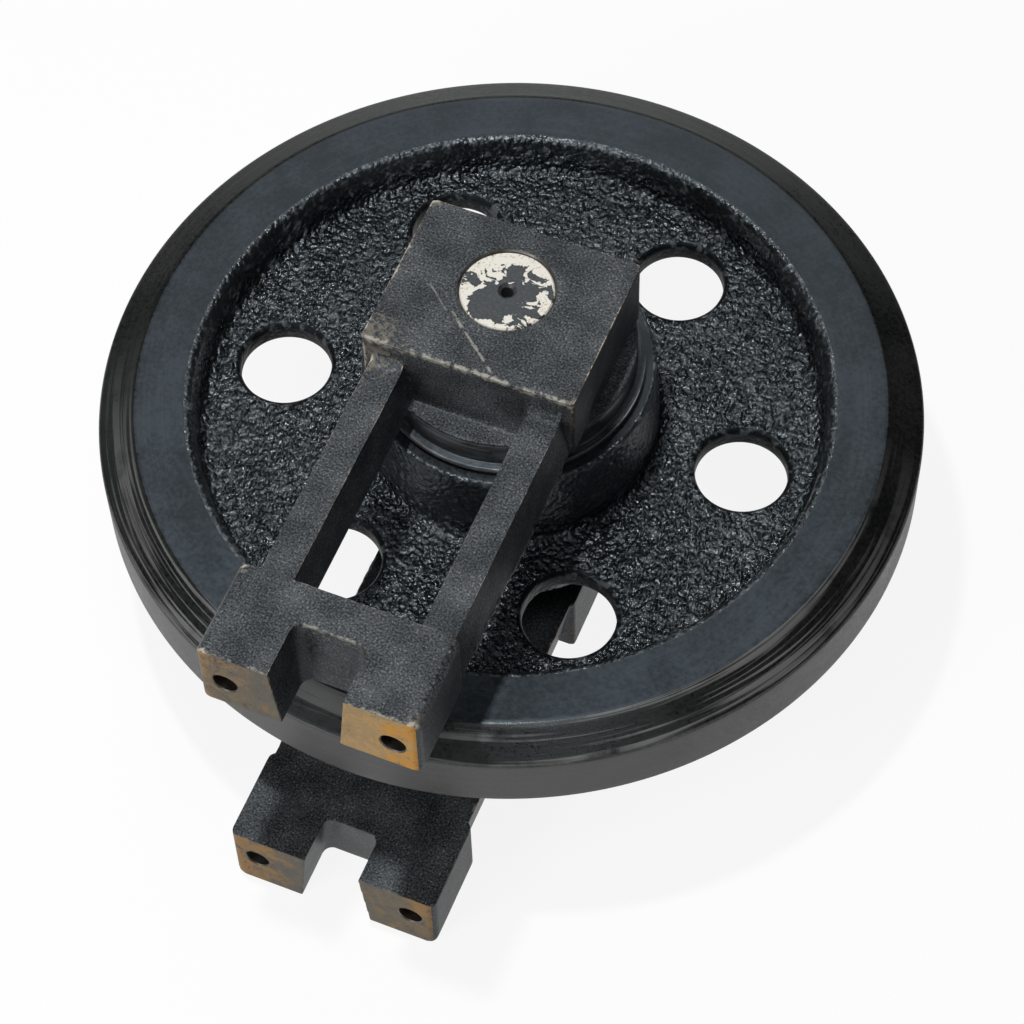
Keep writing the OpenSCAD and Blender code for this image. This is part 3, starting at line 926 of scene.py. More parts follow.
def snap_to_edges(mesh: bpy.types.Mesh, edges: Sequence[tuple[Vector, Vector]], reach: float) -> None:
    """Pull the points of a mesh that lie near sharp edges onto them.

    Args:
        mesh: mesh that changes.
        edges: the two ends of each edge.
        reach: greatest distance of a point that is pulled.
    """
    points = coordinates(mesh)
    target = points.copy()
    best = np.full(len(points), reach)
    for ends in edges:
        start, end = (np.array(corner) for corner in ends)
        low, high = np.minimum(start, end) - reach, np.maximum(start, end) + reach
        near = np.flatnonzero(np.all((points > low) & (points < high), axis=1))
        run = end - start
        share = np.clip((points[near] - start) @ run / (run @ run), 0.0, 1.0)
        foot = start + share[:, None] * run
        gap = np.linalg.norm(points[near] - foot, axis=1)
        closer = gap < best[near]
        best[near[closer]] = gap[closer]
        target[near[closer]] = foot[closer]
    mesh.vertices.foreach_set("co", target.ravel())


def edge_wear(mesh: bpy.types.Mesh, reach: int, gain: float) -> np.ndarray:
    """How much each point stands out on a convex edge.

    Args:
        mesh: an even mesh.
        reach: number of times the result is spread to neighbours.
        gain: stand-out, in metres, that counts as fully worn.

    Returns:
        A value from 0 to 1 for each point.
    """
    points = coordinates(mesh)
    count = len(points)
    pairs = np.empty(len(mesh.edges) * 2, np.int64)
    mesh.edges.foreach_get("vertices", pairs)
    first, second = pairs[0::2], pairs[1::2]
    degree = np.maximum(np.bincount(pairs, minlength=count), 1)

    def around(values: np.ndarray) -> np.ndarray:
        """Mean of the neighbours' values."""
        total = np.bincount(first, values[second], count) + np.bincount(second, values[first], count)
        return total / degree

    normals = np.empty(count * 3, np.float64)
    mesh.vertices.foreach_get("normal", normals)
    normals = normals.reshape(-1, 3)
    wide = points
    for _ in range(3):
        wide = np.column_stack([around(wide[:, axis]) for axis in range(3)])
    worn = np.clip(np.einsum("ij,ij->i", points - wide, normals) / gain, 0.0, 1.0)
    for _ in range(reach):
        worn = np.maximum(worn, around(worn))
    return worn


def cast_skin_tree() -> GeometryTree:
    """Tree that gives a casting the unevenness of its sand mould, where its "cast" attribute says so."""
    tree = GeometryTree("cast_skin", {
        "Lump size": "float", "Lump depth": "float", "Grain size": "float", "Grain depth": "float",
        "Fin depth": "float", "Seed": "float", "Material": "material",
    })
    nodes = tree.nodes
    place = nodes.add("GeometryNodeInputPosition")

    def noise(label: str, detail: float) -> Sock:
        """Noise around 0.5 with the size of a named layer."""
        scale = 1.0 / tree.value(f"{label} size")
        return nodes.add(
            "ShaderNodeTexNoise",
            {"noise_dimensions": "4D"},
            {"Vector": place, "W": tree.value("Seed"), "Scale": scale, "Detail": detail},
        )

    def layer(label: str) -> Sock:
        """One layer of noise, from minus its depth to its depth."""
        return (noise(label, 2.0) - 0.5) * 2.0 * tree.value(f"{label} depth")

    mask = nodes.add("GeometryNodeInputNamedAttribute", {"data_type": "FLOAT"}, {"Name": "cast"})
    fin = nodes.add("GeometryNodeInputNamedAttribute", {"data_type": "FLOAT"}, {"Name": "fin"})
    flash = fin * noise("Grain", 1.0).smooth(0.42, 0.60) * tree.value("Fin depth")
    push = (layer("Lump") + layer("Grain")) * mask + flash
    normal = nodes.add("GeometryNodeInputNormal")
    offset = nodes.add("ShaderNodeVectorMath", {"operation": "SCALE"}, {0: normal, "Scale": push})
    casting = tree.given.of("Geometry")
    moved = nodes.add("GeometryNodeSetPosition", inputs={"Geometry": casting, "Offset": offset})
    tree.finish(moved, mask.math("GREATER_THAN", 0.5))
    return tree


def hole_ring_tree() -> GeometryTree:
    """Tree that sets copies of a cutter on a circle round the wheel's axis."""
    tree = GeometryTree("hole_ring", {
        "Count": "int",
        "Pitch radius": "float",
        "First angle": "float",
        "Height": "float",
        "Material": "material",
    })
    nodes = tree.nodes
    index = nodes.add("GeometryNodeInputIndex")
    angle = tree.value("First angle") + index * math.tau / tree.value("Count")
    spot = nodes.vector(
        angle.math("COSINE") * tree.value("Pitch radius"),
        angle.math("SINE") * tree.value("Pitch radius"),
        tree.value("Height"),
    )
    points = nodes.add("GeometryNodePoints", inputs={"Count": tree.value("Count"), "Position": spot})
    cutter = tree.given.of("Geometry")
    copies = nodes.add("GeometryNodeInstanceOnPoints", inputs={"Points": points, "Instance": cutter})
    tree.finish(copies)
    return tree


@dataclass(frozen=True)
class CastSkin:
    """Unevenness that a sand mould leaves on a casting: sizes and depths of its lumps, grains and fin."""

    lump: float
    lump_depth: float
    grain: float
    grain_depth: float
    seed: float
    fin_depth: float = 0.0

    def lay(self, piece: bpy.types.Object, finish: Finish) -> None:
        """Give a casting this skin, where its "cast" attribute says so.

        Args:
            piece: casting that changes.
            finish: finish of the faces with the skin.
        """
        cast_skin_tree().run(piece, {
            "Lump size": self.lump,
            "Lump depth": self.lump_depth,
            "Grain size": self.grain,
            "Grain depth": self.grain_depth,
            "Fin depth": self.fin_depth,
            "Seed": self.seed,
            "Material": finish.material(),
        })


WHEEL_SKIN = CastSkin(11.0 * MM, 0.40 * MM, 5.0 * MM, 0.22 * MM, seed=3.0)
UPPER_YOKE_SKIN = CastSkin(18.0 * MM, 0.15 * MM, 4.0 * MM, 0.05 * MM, seed=11.0, fin_depth=0.9 * MM)
LOWER_YOKE_SKIN = CastSkin(18.0 * MM, 0.15 * MM, 4.0 * MM, 0.05 * MM, seed=23.0, fin_depth=0.3 * MM)


@dataclass
class Section:
    """Section of a turned piece: points as radius and height, with a zone for each stretch between them."""

    points: list[Point] = field(default_factory=list)
    zones: list[Enum] = field(default_factory=list)

    def line(self, end: Point, zone: Enum, steps: int = 1) -> None:
        """Go straight to a point, in even steps."""
        start = self.points[-1]
        for i in range(1, steps + 1):
            share = i / steps
            spot = (start[0] + (end[0] - start[0]) * share, start[1] + (end[1] - start[1]) * share)
            self.points.append(spot)
            self.zones.append(zone)

    def path(self, ends: Sequence[Point], zone: Enum, steps: int = 1) -> None:
        """Go straight from point to point, each time in even steps."""
        for end in ends:
            self.line(end, zone, steps)

    def arc(
        self,
        centre: Point,
        radius: float,
        angles: Point,
        zone: Enum,
        lead: int = 1,
        steps: int = 6,
    ) -> None:
        """Go straight to the start of an arc and then along it.

        Args:
            centre: middle of the arc.
            radius: its radius.
            angles: first and last angle, in degrees.
            zone: zone of the stretch.
            lead: steps on the way to the arc.
            steps: steps along the arc.
        """
        for i in range(steps + 1):
            angle = math.radians(angles[0] + (angles[1] - angles[0]) * i / steps)
            spot = (centre[0] + radius * math.cos(angle), centre[1] + radius * math.sin(angle))
            if not self.points:
                self.points.append(spot)
            else:
                self.line(spot, zone, lead if i == 0 else 1)

    def closed(self, zone: Enum) -> "Section":
        """This section with a last stretch back to its start."""
        return Section(self.points, self.zones + [zone])

    def over(self, lower: "Section") -> "Section":
        """The closed section made of this half and the mirror image of another one below the middle plane.

        Args:
            lower: the other half, drawn above the middle plane and with as many points.

        Returns:
            The closed section.
        """
        points = self.points + [(r, -z) for r, z in reversed(lower.points)]
        zones = self.zones + [self.zones[-1]] + list(reversed(lower.zones)) + [self.zones[0]]
        return Section(points, zones)


def revolve(name: str, section: Section, height: float, steps: int) -> bpy.types.Mesh:
    """Turn a closed section into a ring-shaped mesh.

    Args:
        name: name of the mesh.
        section: closed section.
        height: height of the section's middle plane.
        steps: number of steps round the axis.

    Returns:
        The mesh, with each face's zone as its material index.
    """
    rings = len(section.points)
    angles = np.arange(steps) * (math.tau / steps)
    radius = np.array([p[0] for p in section.points])
    level = np.array([p[1] for p in section.points]) + height
    x = np.outer(radius, np.cos(angles))
    y = np.outer(radius, np.sin(angles))
    z = np.repeat(level[:, None], steps, axis=1)
    points = np.stack([x, y, z], axis=2).reshape(-1, 3)
    faces = []
    zones = []
    for i in range(rings):
        j = (i + 1) % rings
        for k in range(steps):
            n = (k + 1) % steps
            faces.append((i * steps + k, i * steps + n, j * steps + n, j * steps + k))
            zones.append(section.zones[i].value)
    mesh = bpy.data.meshes.new(name)
    mesh.from_pydata(points.tolist(), [], faces)
    mesh.polygons.foreach_set("material_index", zones)
    mesh.update()
    fix_normals(mesh)
    return mesh


def absorb(work: bmesh.types.BMesh, meshes: Sequence[bpy.types.Mesh]) -> None:
    """Add meshes to a mesh in work, and remove them."""
    for mesh in meshes:
        work.from_mesh(mesh)
        bpy.data.meshes.remove(mesh)


def fix_normals(mesh: bpy.types.Mesh) -> None:
    """Merge doubled points and turn all faces outwards."""
    work = bmesh.new()
    work.from_mesh(mesh)
    bmesh.ops.remove_doubles(work, verts=work.verts, dist=WELD)
    bmesh.ops.recalc_face_normals(work, faces=work.faces)
    work.to_mesh(mesh)
    work.free()


# Wheel


@dataclass
class IdlerWheel:
    """The cast wheel: guide flange, turned rim, dished web with six holes, and hub."""

    node: str = "idler_wheel"
    flange_w: float = 31.0 * MM
    flange_edge_r: float = 1.5 * MM
    rim_face_r: float = 182.5 * MM
    rim_w: float = 50.0 * MM
    rim_bore_r: float = 158.0 * MM
    rim_edge_r: float = 4.0 * MM
    rim_draft: float = 10.0
    web_t: float = 12.0 * MM
    web_set: float = -2.0 * MM
    web_fillet: float = 5.0 * MM
    hole_count: int = 6
    hole_r: float = 22.5 * MM
    hole_pitch_r: float = 116.0 * MM
    hole_turn: float = 6.0
    hole_edge_r: float = 3.0 * MM
    hub_r: float = 70.5 * MM
    hub_edge_r: float = 2.0 * MM
    hub_draft: float = 3.0
    seal_bore_r: float = 56.0 * MM
    seal_floor: float = 37.5 * MM
    hub_nose_r: float = 43.04 * MM
    flange_seat: float = 46.0 * MM
    bush_bore_r: float = 35.1 * MM
    bore_stop: float = 4.0 * MM
    lip: float = 0.6 * MM
    hole_over: float = 4.0 * MM
    hole_steps: int = 72
    hole_calm: float = 0.2
    steps_round: int = 360
    sharp_angle: float = 38.0
    skin: CastSkin = WHEEL_SKIN

    def __post_init__(self) -> None:
        """Take the place and the outside sizes from the frame."""
        low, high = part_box(self.node)
        self.middle_z = (low.z + high.z) / 2.0
        self.flange_r = (high.x - low.x) / 2.0
        self.hub_half = (high.z - low.z) / 2.0

    def side(self, web_z: float) -> Section:
        """Section of one side of the wheel.

        Args:
            web_z: height of the web's face above the wheel's middle plane.

        Returns:
            The half section, from the flange inwards to the bore.
        """
        half = Section()
        slope = math.degrees(math.atan2(self.rim_w / 2 - self.flange_w / 2, self.flange_r - self.rim_face_r))
        drop_z = self.flange_edge_r * math.tan(math.radians(90.0 - slope) / 2.0)
        edge = (self.flange_r - self.flange_edge_r, self.flange_w / 2 - drop_z)
        half.points.append((self.flange_r, 0.0))
        half.arc(edge, self.flange_edge_r, (0.0, 90.0 - slope), WheelZone.FLANGE, lead=5)
        half.line((self.rim_face_r + self.lip, self.rim_w / 2 - self.lip * 0.6), WheelZone.SHOULDER, 8)
        half.line((self.rim_face_r - self.lip, self.rim_w / 2), WheelZone.SHOULDER, 2)
        rim_edge = (self.rim_bore_r, self.rim_w / 2 - self.rim_edge_r)
        half.arc(rim_edge, self.rim_edge_r, (90.0, 90.0), WheelZone.RIM_FACE, lead=10, steps=1)
        half.arc(rim_edge, self.rim_edge_r, (90.0, 180.0 - self.rim_draft), WheelZone.CAST, steps=7)
        fillet_z = web_z + self.web_fillet
        draft = math.radians(self.rim_draft)
        rim_foot = self.rim_bore_r - (self.rim_edge_r + self.web_fillet) / math.cos(draft)
        rim_foot -= (rim_edge[1] - fillet_z) * math.tan(draft)
        rim_turn = (-self.rim_draft, -90.0)
        half.arc((rim_foot, fillet_z), self.web_fillet, rim_turn, WheelZone.CAST, lead=6, steps=5)
        hub_edge = (self.hub_r - self.hub_edge_r, self.hub_half - self.hub_edge_r)
        draft = math.radians(self.hub_draft)
        hub_foot = hub_edge[0] + (self.hub_edge_r + self.web_fillet) / math.cos(draft)
        hub_foot += (hub_edge[1] - fillet_z) * math.tan(draft)
        hub_turn = (270.0, 180.0 + self.hub_draft)
        half.arc((hub_foot, fillet_z), self.web_fillet, hub_turn, WheelZone.CAST, lead=40, steps=5)
        half.arc(hub_edge, self.hub_edge_r, (self.hub_draft, 90.0), WheelZone.CAST, lead=18, steps=5)
        half.line((self.seal_bore_r, self.hub_half), WheelZone.HUB_FACE, 4)
        bore = (
            (self.seal_bore_r, self.seal_floor),
            (self.hub_nose_r, self.seal_floor),
            (self.hub_nose_r, self.flange_seat),
            (self.bush_bore_r, self.flange_seat),
            (self.bush_bore_r, self.bore_stop),
        )
        half.path(bore, WheelZone.BORE, 2)
        return half

    def section(self) -> Section:
        """The wheel's closed section, with the web set off its middle plane."""
        return self.side(self.web_t / 2 + self.web_set).over(self.side(self.web_t / 2 - self.web_set))

    def hole_cutter(self) -> bpy.types.Object:
        """One cutter, drawn on the axis, for a hole with rounded edges."""
        top = self.web_t / 2 + self.hole_over
        section = Section([(0.0, top)])
        section.line((self.hole_r + self.hole_edge_r, top), WheelZone.HOLE)
        centre = (self.hole_r + self.hole_edge_r, self.web_t / 2 - self.hole_edge_r)
        section.arc(centre, self.hole_edge_r, (90.0, 180.0), WheelZone.HOLE, steps=6)
        return new_piece("hole_cutter", revolve("hole_cutter", section.over(section), 0.0, self.hole_steps))

    def cast_mask(self, points: np.ndarray) -> np.ndarray:
        """Where the wheel keeps its rough cast skin.

        Args:
            points: the wheel's points.

        Returns:
            1 on the cast surfaces, falling to 0 towards the turned ones.
        """
        radius = np.hypot(points[:, 0], points[:, 1])
        rise = np.abs(points[:, 2] - self.middle_z)
        inside = soft_step(radius, self.rim_bore_r - self.rim_edge_r, self.rim_bore_r - self.rim_edge_r * 3.0)
        outside = soft_step(radius, self.hub_r - self.hub_edge_r, self.hub_r)
        below = soft_step(rise, self.hub_half, self.hub_half - self.hub_edge_r)
        angles = math.radians(self.hole_turn) + np.arange(self.hole_count) * (math.tau / self.hole_count)
        centres = self.hole_pitch_r * np.column_stack([np.cos(angles), np.sin(angles)])
        away = np.linalg.norm(points[:, None, :2] - centres[None, :, :], axis=2).min(axis=1)
        beside = soft_step(away, self.hole_r + 0.5 * MM, self.hole_r + self.hole_edge_r + 2.0 * MM)
        return inside * outside * below * (self.hole_calm + (1.0 - self.hole_calm) * beside)

    def build(self) -> bpy.types.Object:
        """Turn the wheel, cut its holes and give it its cast skin."""
        turned = revolve("wheel_casting", self.section(), self.middle_z, self.steps_round)
        wheel = new_piece("wheel_casting", turned)
        finishes = {
            WheelZone.FLANGE: FLANGE_WEAR,
            WheelZone.SHOULDER: SHOULDER_PAINT,
            WheelZone.RIM_FACE: RIM_PAINT,
            WheelZone.CAST: WEB_CAST,
            WheelZone.HUB_FACE: HUB_PAINT,
            WheelZone.BORE: BORE_STEEL,
            WheelZone.HOLE: HOLE_CAST,
        }
        for zone in WheelZone:
            wheel.data.materials.append(finishes[zone].material())
        cutter = self.hole_cutter()
        hole_ring_tree().run(cutter, {
            "Count": self.hole_count,
            "Pitch radius": self.hole_pitch_r,
            "First angle": math.radians(self.hole_turn),
            "Height": self.middle_z + self.web_set,
            "Material": HOLE_CAST.material(),
        })
        cutter.data.polygons.foreach_set("material_index", [WheelZone.HOLE.value] * len(cutter.data.polygons))
        combine(wheel, cutter, "DIFFERENCE")
        set_value(wheel.data, "cast", self.cast_mask(coordinates(wheel.data)))
        self.skin.lay(wheel, WEB_CAST)
        wheel.data.shade_smooth()
        wheel.data.set_sharp_from_angle(angle=math.radians(self.sharp_angle))
        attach(wheel, Body.WHEEL.value)
        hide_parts(self.node)
        return wheel


# Yokes


@dataclass(frozen=True)
class Drilling:
    """A bored hole: where its mouth is, the way out of it and its sizes."""

    mouth: Vector
    outward: Vector
    radius: float
    depth: float
    chamfer: float = 0.6 * MM
    plug_over: float = 1.8 * MM
    cutter_over: float = 3.0 * MM
    steps: int = 64

    def placed(self, name: str, section: Section) -> bpy.types.Mesh:
        """A turned solid that is set on the hole's axis.

        Args:
            name: name of the mesh.
            section: closed section, with height 0 at the hole's mouth.

        Returns:
            The mesh.
        """
        mesh = revolve(name, section, 0.0, self.steps)
        turn = self.outward.to_track_quat("Z", "Y").to_matrix().to_4x4()
        mesh.transform(Matrix.Translation(self.mouth) @ turn)
        return mesh

    def plug(self) -> bpy.types.Mesh:
        """A solid that fills the hole flush with its mouth."""
        over = self.radius + self.plug_over
        section = Section([(0.0, -self.depth)])
        section.path(((over, -self.depth), (over, 0.0), (0.0, 0.0)), YokeZone.BORE)
        return self.placed("plug", section.closed(YokeZone.BORE))

    def cutter(self) -> bpy.types.Mesh:
        """A solid that bores the hole again, with a chamfered mouth."""
        mouth_r = self.radius + self.chamfer
        wall = (
            (self.radius, -self.depth),
            (self.radius, -self.chamfer),
            (mouth_r, 0.0),
            (mouth_r, self.cutter_over),
            (0.0, self.cutter_over),
        )
        section = Section([(0.0, -self.depth)])
        section.path(wall, YokeZone.BORE)
        return self.placed("cutter", section.closed(YokeZone.BORE))


@dataclass
class Yoke:
    """One yoke casting: bored block with a turned boss, two drafted arms and the bolted crosshead."""

    end: End
    middle_z: float
    skin: CastSkin
    voxel: float = 1.0 * MM
    snap_share: float = 0.62
    rounds: int = 3
    crease_angle: float = 35.0
    sharp_angle: float = 42.0
    wear_gain: float = 0.22 * MM
    boss_steps: int = 192
    seat_gap: float = 0.02 * MM
    bore_chamfer: float = 0.8 * MM
    yoke_t: float = 40.0 * MM
    yoke_z: float = 68.0 * MM
    boss_z: float = 55.0 * MM
    collar_z: float = 52.0 * MM
    nose_z: float = 50.4 * MM
    housing_z: float = 64.5 * MM
    bore_r: float = 22.55 * MM
    nose_r: float = 42.04 * MM
    housing_r: float = 56.0 * MM
    boss_r: float = 61.0 * MM
    collar_r: float = 65.0 * MM
    bolt_r: float = 6.0 * MM
    bolt_x: float = 40.0 * MM
    bolt_set: float = 22.0 * MM
    bolt_l: float = 34.0 * MM
    pin_r: float = 6.05 * MM
    pin_x: float = -22.5 * MM
    pin_set: float = 20.0 * MM
    block_back: float = 36.0 * MM
    mouth_l: float = 8.0 * MM
    arm_side_x: float = 50.8 * MM
    arm_ends_y: Point = (-176.0 * MM, -56.0 * MM)

    def __post_init__(self) -> None:
        """Take the yoke's place from the frame."""
        self.node = f"{self.end.word}_yoke"
        self.low, self.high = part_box(self.node)
        self.outer_z = self.high.z if self.end is End.UPPER else self.low.z

    def level(self, rise: float) -> float:
        """Height in the frame of a distance from the wheel's middle plane towards this end."""
        return self.middle_z + self.end.value * rise

    def drillings(self) -> list[Drilling]:
        """The two bolt holes, the mouth of the shaft's bore and the mouth of the lock pin's bore."""
        bolt_z = self.outer_z - self.end.value * self.bolt_set
        pin_z = self.outer_z - self.end.value * self.pin_set
        front, back = Vector((0.0, -1.0, 0.0)), Vector((0.0, 1.0, 0.0))
        holes = [
            Drilling(Vector((side * self.bolt_x, self.low.y, bolt_z)), front, self.bolt_r, self.bolt_l)
            for side in (-1.0, 1.0)
        ]
        axis = Vector((0.0, 0.0, float(self.end.value)))
        mouth = Vector((0.0, 0.0, self.outer_z))
        holes.append(Drilling(mouth, axis, self.bore_r, self.mouth_l, self.bore_chamfer))
        holes.append(Drilling(Vector((self.pin_x, self.block_back, pin_z)), back, self.pin_r, self.mouth_l))
        return holes

    def boss(self) -> bpy.types.Object:
        """The turned boss with its collar, the seal's housing and the nose round the shaft."""
        lap = 0.6 * MM
        inset = 0.5 * MM
        edge = 0.5 * MM
        section = Section([(self.bore_r, self.nose_z)])
        housing = (
            (self.nose_r, self.nose_z),
            (self.nose_r, self.housing_z),
            (self.housing_r, self.housing_z),
            (self.housing_r, self.collar_z),
        )
        section.path(housing, YokeZone.BORE)
        low_edge = (self.collar_r - edge, self.collar_z + edge)
        section.arc(low_edge, edge, (-90.0, 0.0), YokeZone.EDGE, steps=3)
        high_edge = (self.collar_r - edge, self.boss_z - edge)
        section.arc(high_edge, edge, (0.0, 90.0), YokeZone.EDGE, steps=3)
        foot = (self.boss_r + edge, self.boss_z + edge)
        section.arc(foot, edge, (270.0, 180.0), YokeZone.TURNED, steps=3)
        section.line((self.boss_r, self.yoke_z - inset), YokeZone.TURNED, 3)
        section.line((self.boss_r - inset, self.yoke_z + lap), YokeZone.TURNED)
        section.line((self.bore_r, self.yoke_z + lap), YokeZone.TURNED)
        section.points = [(r, self.end.value * z) for r, z in section.points]
        turned = revolve("boss", section.closed(YokeZone.BORE), self.middle_z, self.boss_steps)
        return new_piece("boss", turned)

    def blank(self) -> bpy.types.Object:
        """The casting before machining: the CAD shape without boss and holes, remeshed and softened."""
        work = bmesh.new()
        work.from_mesh(frame["nodes"][self.node].data)
        bmesh.ops.remove_doubles(work, verts=work.verts, dist=WELD)
        parts = list(work.verts) + list(work.edges) + list(work.faces)
        inside = Vector((0.0, 0.0, -float(self.end.value)))
        plane = Vector((0.0, 0.0, self.level(self.yoke_z + self.seat_gap)))
        cut = bmesh.ops.bisect_plane(work, geom=parts, plane_co=plane, plane_no=inside, clear_outer=True)
        rim = [item for item in cut["geom_cut"] if isinstance(item, bmesh.types.BMEdge)]
        bmesh.ops.triangle_fill(work, edges=rim, use_beauty=True)
        bmesh.ops.recalc_face_normals(work, faces=work.faces)
        creases = [
            tuple(corner.co.copy() for corner in edge.verts)
            for edge in work.edges
            if edge.is_convex and edge.calc_face_angle(0.0) > math.radians(self.crease_angle)
        ]
        absorb(work, [hole.plug() for hole in self.drillings()])
        mesh = bpy.data.meshes.new(f"{self.node}_casting")
        work.to_mesh(mesh)
        work.free()
        blank = new_piece(mesh.name, mesh)
        faces = new_piece("faces", mesh.copy())
        remesh = blank.modifiers.new("even", "REMESH")
        remesh.mode = "VOXEL"
        remesh.voxel_size = self.voxel
        fit = blank.modifiers.new("fit", "SHRINKWRAP")
        fit.wrap_method = "NEAREST_SURFACEPOINT"
        fit.target = faces
        bake(blank)
        snap_to_edges(blank.data, creases, self.voxel * self.snap_share)
        soften = blank.modifiers.new("soften", "SMOOTH")
        soften.factor = 0.5
        soften.iterations = self.rounds
        bake(blank)
        drop(faces)
        return blank

    def cast_mask(self, points: np.ndarray) -> np.ndarray:
        """Where the yoke keeps its cast skin, which the seat, the holes' mouths and the end face lack.

        Args:
            points: the yoke's points.

        Returns:
            1 on cast surfaces, 0 on machined ones.
        """
        from_outer = np.abs(points[:, 2] - self.outer_z)
        mask = 1.0 - soft_step(from_outer, self.yoke_t - 3.0 * MM, self.yoke_t)
        mask *= soft_step(points[:, 1], self.low.y + 0.5 * MM, self.low.y + 3.0 * MM)
        for hole in self.drillings():
            away = np.linalg.norm(points - np.array(hole.mouth), axis=1)
            mask *= soft_step(away, hole.radius + 3.0 * MM, hole.radius + 7.0 * MM)
        return mask

    def fin_mask(self, points: np.ndarray) -> np.ndarray:
        """Where the mould's parting left a thin fin: along the arms' outer edges on the inner face.

        Args:
            points: the yoke's points.

        Returns:
            1 on the fin, falling to 0 within two millimetres.
        """
        side = np.abs(np.abs(points[:, 0]) - self.arm_side_x)
        rise = np.abs(points[:, 2] - self.level(self.yoke_z))
        near = 1.0 - soft_step(np.hypot(side, rise), 0.6 * MM, 2.2 * MM)
        start, stop = self.arm_ends_y
        fade = 4.0 * MM
        along = soft_step(points[:, 1], start, start + fade) * soft_step(points[:, 1], stop, stop - fade)
        return near * along

    def build(self) -> bpy.types.Object:
        """Cast the blank with its skin and worn edges, then add the boss and bore the holes."""
        yoke = self.blank()
        mesh = yoke.data
        points = coordinates(mesh)
        fin = self.fin_mask(points)
        from_outer = np.abs(points[:, 2] - self.outer_z)
        reachable = 1.0 - soft_step(from_outer, 0.6 * self.yoke_t, 0.8 * self.yoke_t)
        # The wear value holds rubbed convex edges near the outer face, and the fin at 1.2, whose pale colour
        # is partly rubbed paint and partly a painted highlight
        set_value(mesh, "wear_and_fin_highlight", np.maximum(edge_wear(mesh, 2, self.wear_gain) * reachable, fin * 1.2))
        set_value(mesh, "fin", fin)
        set_value(mesh, "cast", self.cast_mask(points))
        mesh.materials.append(YOKE_PAINT.material())
        self.skin.lay(yoke, YOKE_PAINT)
        mesh = yoke.data
        mesh.materials.clear()
        for finish in (YOKE_PAINT, LUG_RUST, COLLAR_PAINT, BORE_STEEL, COLLAR_EDGE):
            mesh.materials.append(finish.material())
        for face in mesh.polygons:
            rusty = face.normal.y < -0.8 and face.center.y < self.low.y + 1.0 * MM
            face.material_index = (YokeZone.RUST if rusty else YokeZone.PAINT).value
        combine(yoke, self.boss(), "UNION")
        cutters = new_piece("cutters")
        work = bmesh.new()
        absorb(work, [hole.cutter() for hole in self.drillings()])
        work.to_mesh(cutters.data)
        work.free()
        combine(yoke, cutters, "DIFFERENCE")
        yoke.data.shade_smooth()
        yoke.data.set_sharp_from_angle(angle=math.radians(self.sharp_angle))
        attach(yoke, Body.FRAME.value)
        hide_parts(self.node)
        return yoke


# Shaft, bushes and seals


@dataclass
class BearingAndShaft:
    """The CAD nodes that keep their shape: shaft, pins, bushes, seals and oil plug."""

    finishes: Mapping[str, Finish] = field(default_factory=lambda: {
        "axle_shaft": SHAFT_END,
        "bush": BUSH_BRONZE,
        "seal_ring": SEAL_STEEL,
        "toric": SEAL_RUBBER,
        "o_ring": SEAL_RUBBER,
        "lock_pin": PIN_STEEL,
        "oil_plug": PIN_STEEL,
        "oil_plug_washer": WASHER_COPPER,
    })

    def dress(self) -> list[bpy.types.Object]:
        """Give each node the finish whose name its own name ends with."""
        dressed = []
        for name, node in sorted(frame["nodes"].items()):
            match = max((key for key in self.finishes if name.endswith(key)), key=len, default=None)
            if match is None:
                continue
            for place in node.material_slots:
                place.material = self.finishes[match].material()
            dressed.append(node)
        return dressed


# Camera and studio


@dataclass(frozen=True)
class PhotoCamera:
    """Camera at the photograph's viewing angle, measured from the wheel's centre."""

    azimuth: float = 24.01
    elevation: float = 57.76
    roll: float = -1.88
    distance: float = 1.61345
    lens_mm: float = 115.92
    sensor_mm: float = 36.0
    aim_right: float = 0.36 * MM
    aim_up: float = -44.94 * MM
    near_clip: float = 0.05

    def build(self, centre: Vector) -> bpy.types.Object:
        """Place the camera.

        Args:
            centre: centre of the wheel.

        Returns:
            The camera.
        """
        azimuth, elevation, roll = (math.radians(a) for a in (self.azimuth, self.elevation, self.roll))
        flat = math.cos(elevation)
        back = Vector((math.sin(azimuth) * flat, -math.cos(azimuth) * flat, math.sin(elevation)))
        level = Vector((math.cos(azimuth), math.sin(azimuth), 0.0))
        rise = back.cross(level)
        right = math.cos(roll) * level + math.sin(roll) * rise
        up = math.cos(roll) * rise - math.sin(roll) * level
        spot = centre + self.aim_right * right + self.aim_up * up + self.distance * back
        data = bpy.data.cameras.new("photo_camera")
        data.lens = self.lens_mm
        data.sensor_width = self.sensor_mm
        data.clip_start = self.near_clip
        camera = bpy.data.objects.new("photo_camera", data)
        bpy.context.scene.collection.objects.link(camera)
        turn = Matrix((right, up, back)).transposed().to_4x4()
        camera.matrix_world = Matrix.Translation(spot) @ turn
        bpy.context.scene.camera = camera
        return camera


@dataclass(frozen=True)
class SoftBox:
    """A square studio lamp."""

    name: str
    toward: tuple[float, float, float]
    distance: float
    size: float
    share: float

    def build(self, centre: Vector) -> bpy.types.Object:
        """Hang the lamp so that a white sheet facing it would show its share of white.

        Args:
            centre: point that the lamp faces.

        Returns:
            The lamp.
        """
        data = bpy.data.lights.new(self.name, "AREA")
        data.shape = "SQUARE"
        data.size = self.size
        data.energy = self.share * math.pi ** 2 * self.distance ** 2
        lamp = bpy.data.objects.new(self.name, data)
        bpy.context.scene.collection.objects.link(lamp)
        aim = Vector(self.toward).normalized()
        lamp.location = centre + aim * self.distance
        lamp.rotation_euler = aim.to_track_quat("Z", "Y").to_euler()
        return lamp


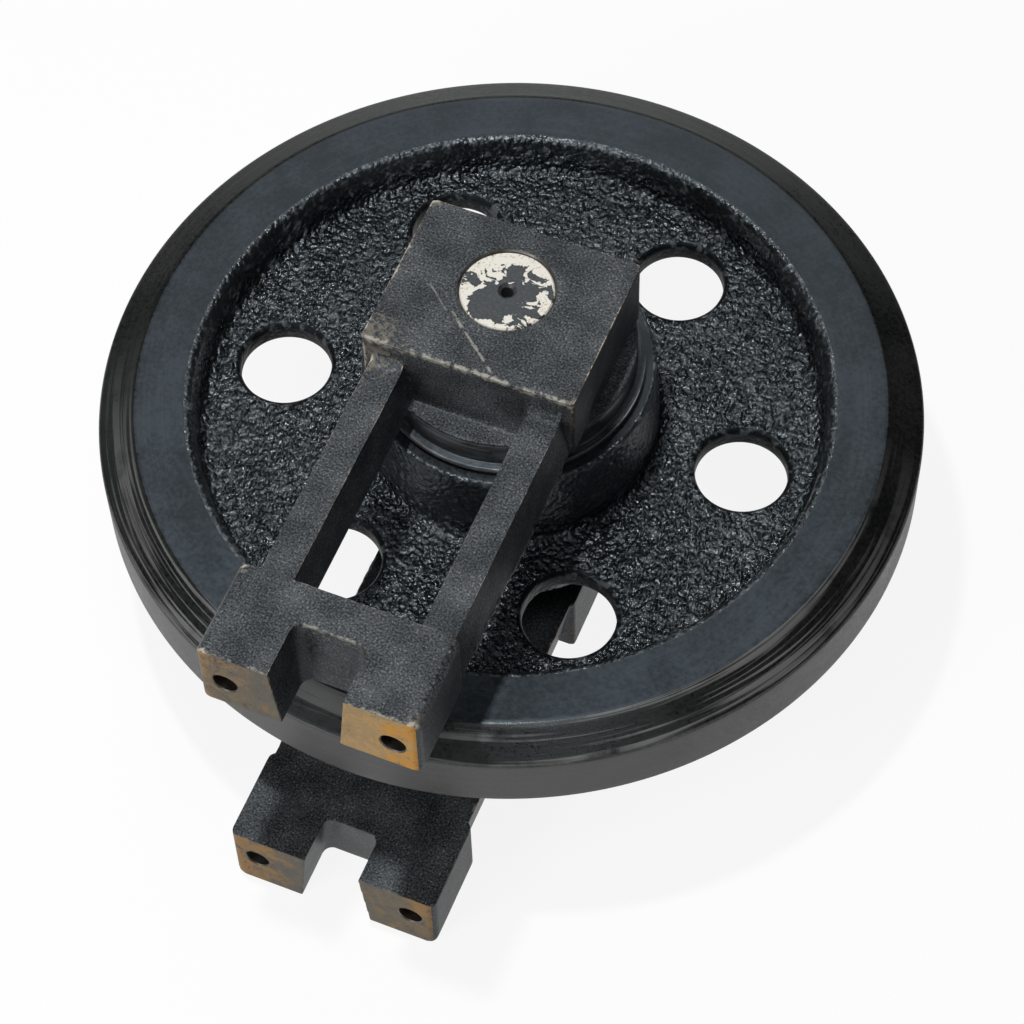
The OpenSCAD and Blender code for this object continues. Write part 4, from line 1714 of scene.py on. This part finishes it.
@dataclass
class Studio:
    """Plain pale floor, soft lamps and a dim even sky."""

    floor_half: float = 4.0
    floor_drop: float = 0.3 * MM
    sky: Colour = (0.94, 0.97, 1.0, 1.0)
    sky_level: float = 0.035
    lamps: Sequence[SoftBox] = (
        SoftBox("key_lamp", (-0.124, -0.059, 1.0), 1.7, 0.08, 0.58),
        SoftBox("front_fill", (-0.45, -1.0, 0.55), 2.2, 1.0, 0.46),
        SoftBox("back_fill", (-0.35, 0.95, 0.85), 2.2, 1.5, 0.22),
        SoftBox("side_fill", (-1.0, 0.15, 0.55), 2.2, 1.0, 0.03),
        SoftBox("top_fill", (0.26, -0.30, 1.0), 2.2, 0.5, 0.11),
    )

    def build(self, centre: Vector, ground: float) -> None:
        """Lay the floor and hang the lamps.

        Args:
            centre: point that the lamps face.
            ground: height of the floor.
        """
        half = self.floor_half
        level = ground - self.floor_drop
        mesh = bpy.data.meshes.new("pale_floor")
        corners = [(-half, -half, level), (half, -half, level), (half, half, level), (-half, half, level)]
        mesh.from_pydata(corners, [], [(0, 1, 2, 3)])
        floor = new_piece("pale_floor", mesh)
        mesh.materials.append(FLOOR.material())
        for lamp in self.lamps:
            lamp.build(centre)
        world = bpy.data.worlds.new("dim_sky")
        world.use_nodes = True
        nodes = Nodes(world.node_tree)
        sky = nodes.add("ShaderNodeBackground", inputs={"Color": self.sky, "Strength": self.sky_level})
        nodes.add("ShaderNodeOutputWorld", inputs={"Surface": sky})
        bpy.context.scene.world = world
        bpy.context.scene.view_settings.view_transform = "Standard"


def report(piece: bpy.types.Object) -> None:
    """Log a piece's name and its number of faces."""
    LOG.info("%s: %d faces", piece.name, len(piece.data.polygons))


def main() -> None:
    """Build and dress every piece, then the studio around them."""
    logging.basicConfig(level=logging.INFO, format="%(message)s")
    wheel = IdlerWheel()
    centre = Vector((0.0, 0.0, wheel.middle_z))
    PhotoCamera().build(centre)
    report(wheel.build())
    report(Yoke(End.UPPER, wheel.middle_z, UPPER_YOKE_SKIN).build())
    report(Yoke(End.LOWER, wheel.middle_z, LOWER_YOKE_SKIN).build())
    for node in BearingAndShaft().dress():
        report(node)
    Studio().build(centre, GROUND_Z)


if __name__ == "__main__":
    main()
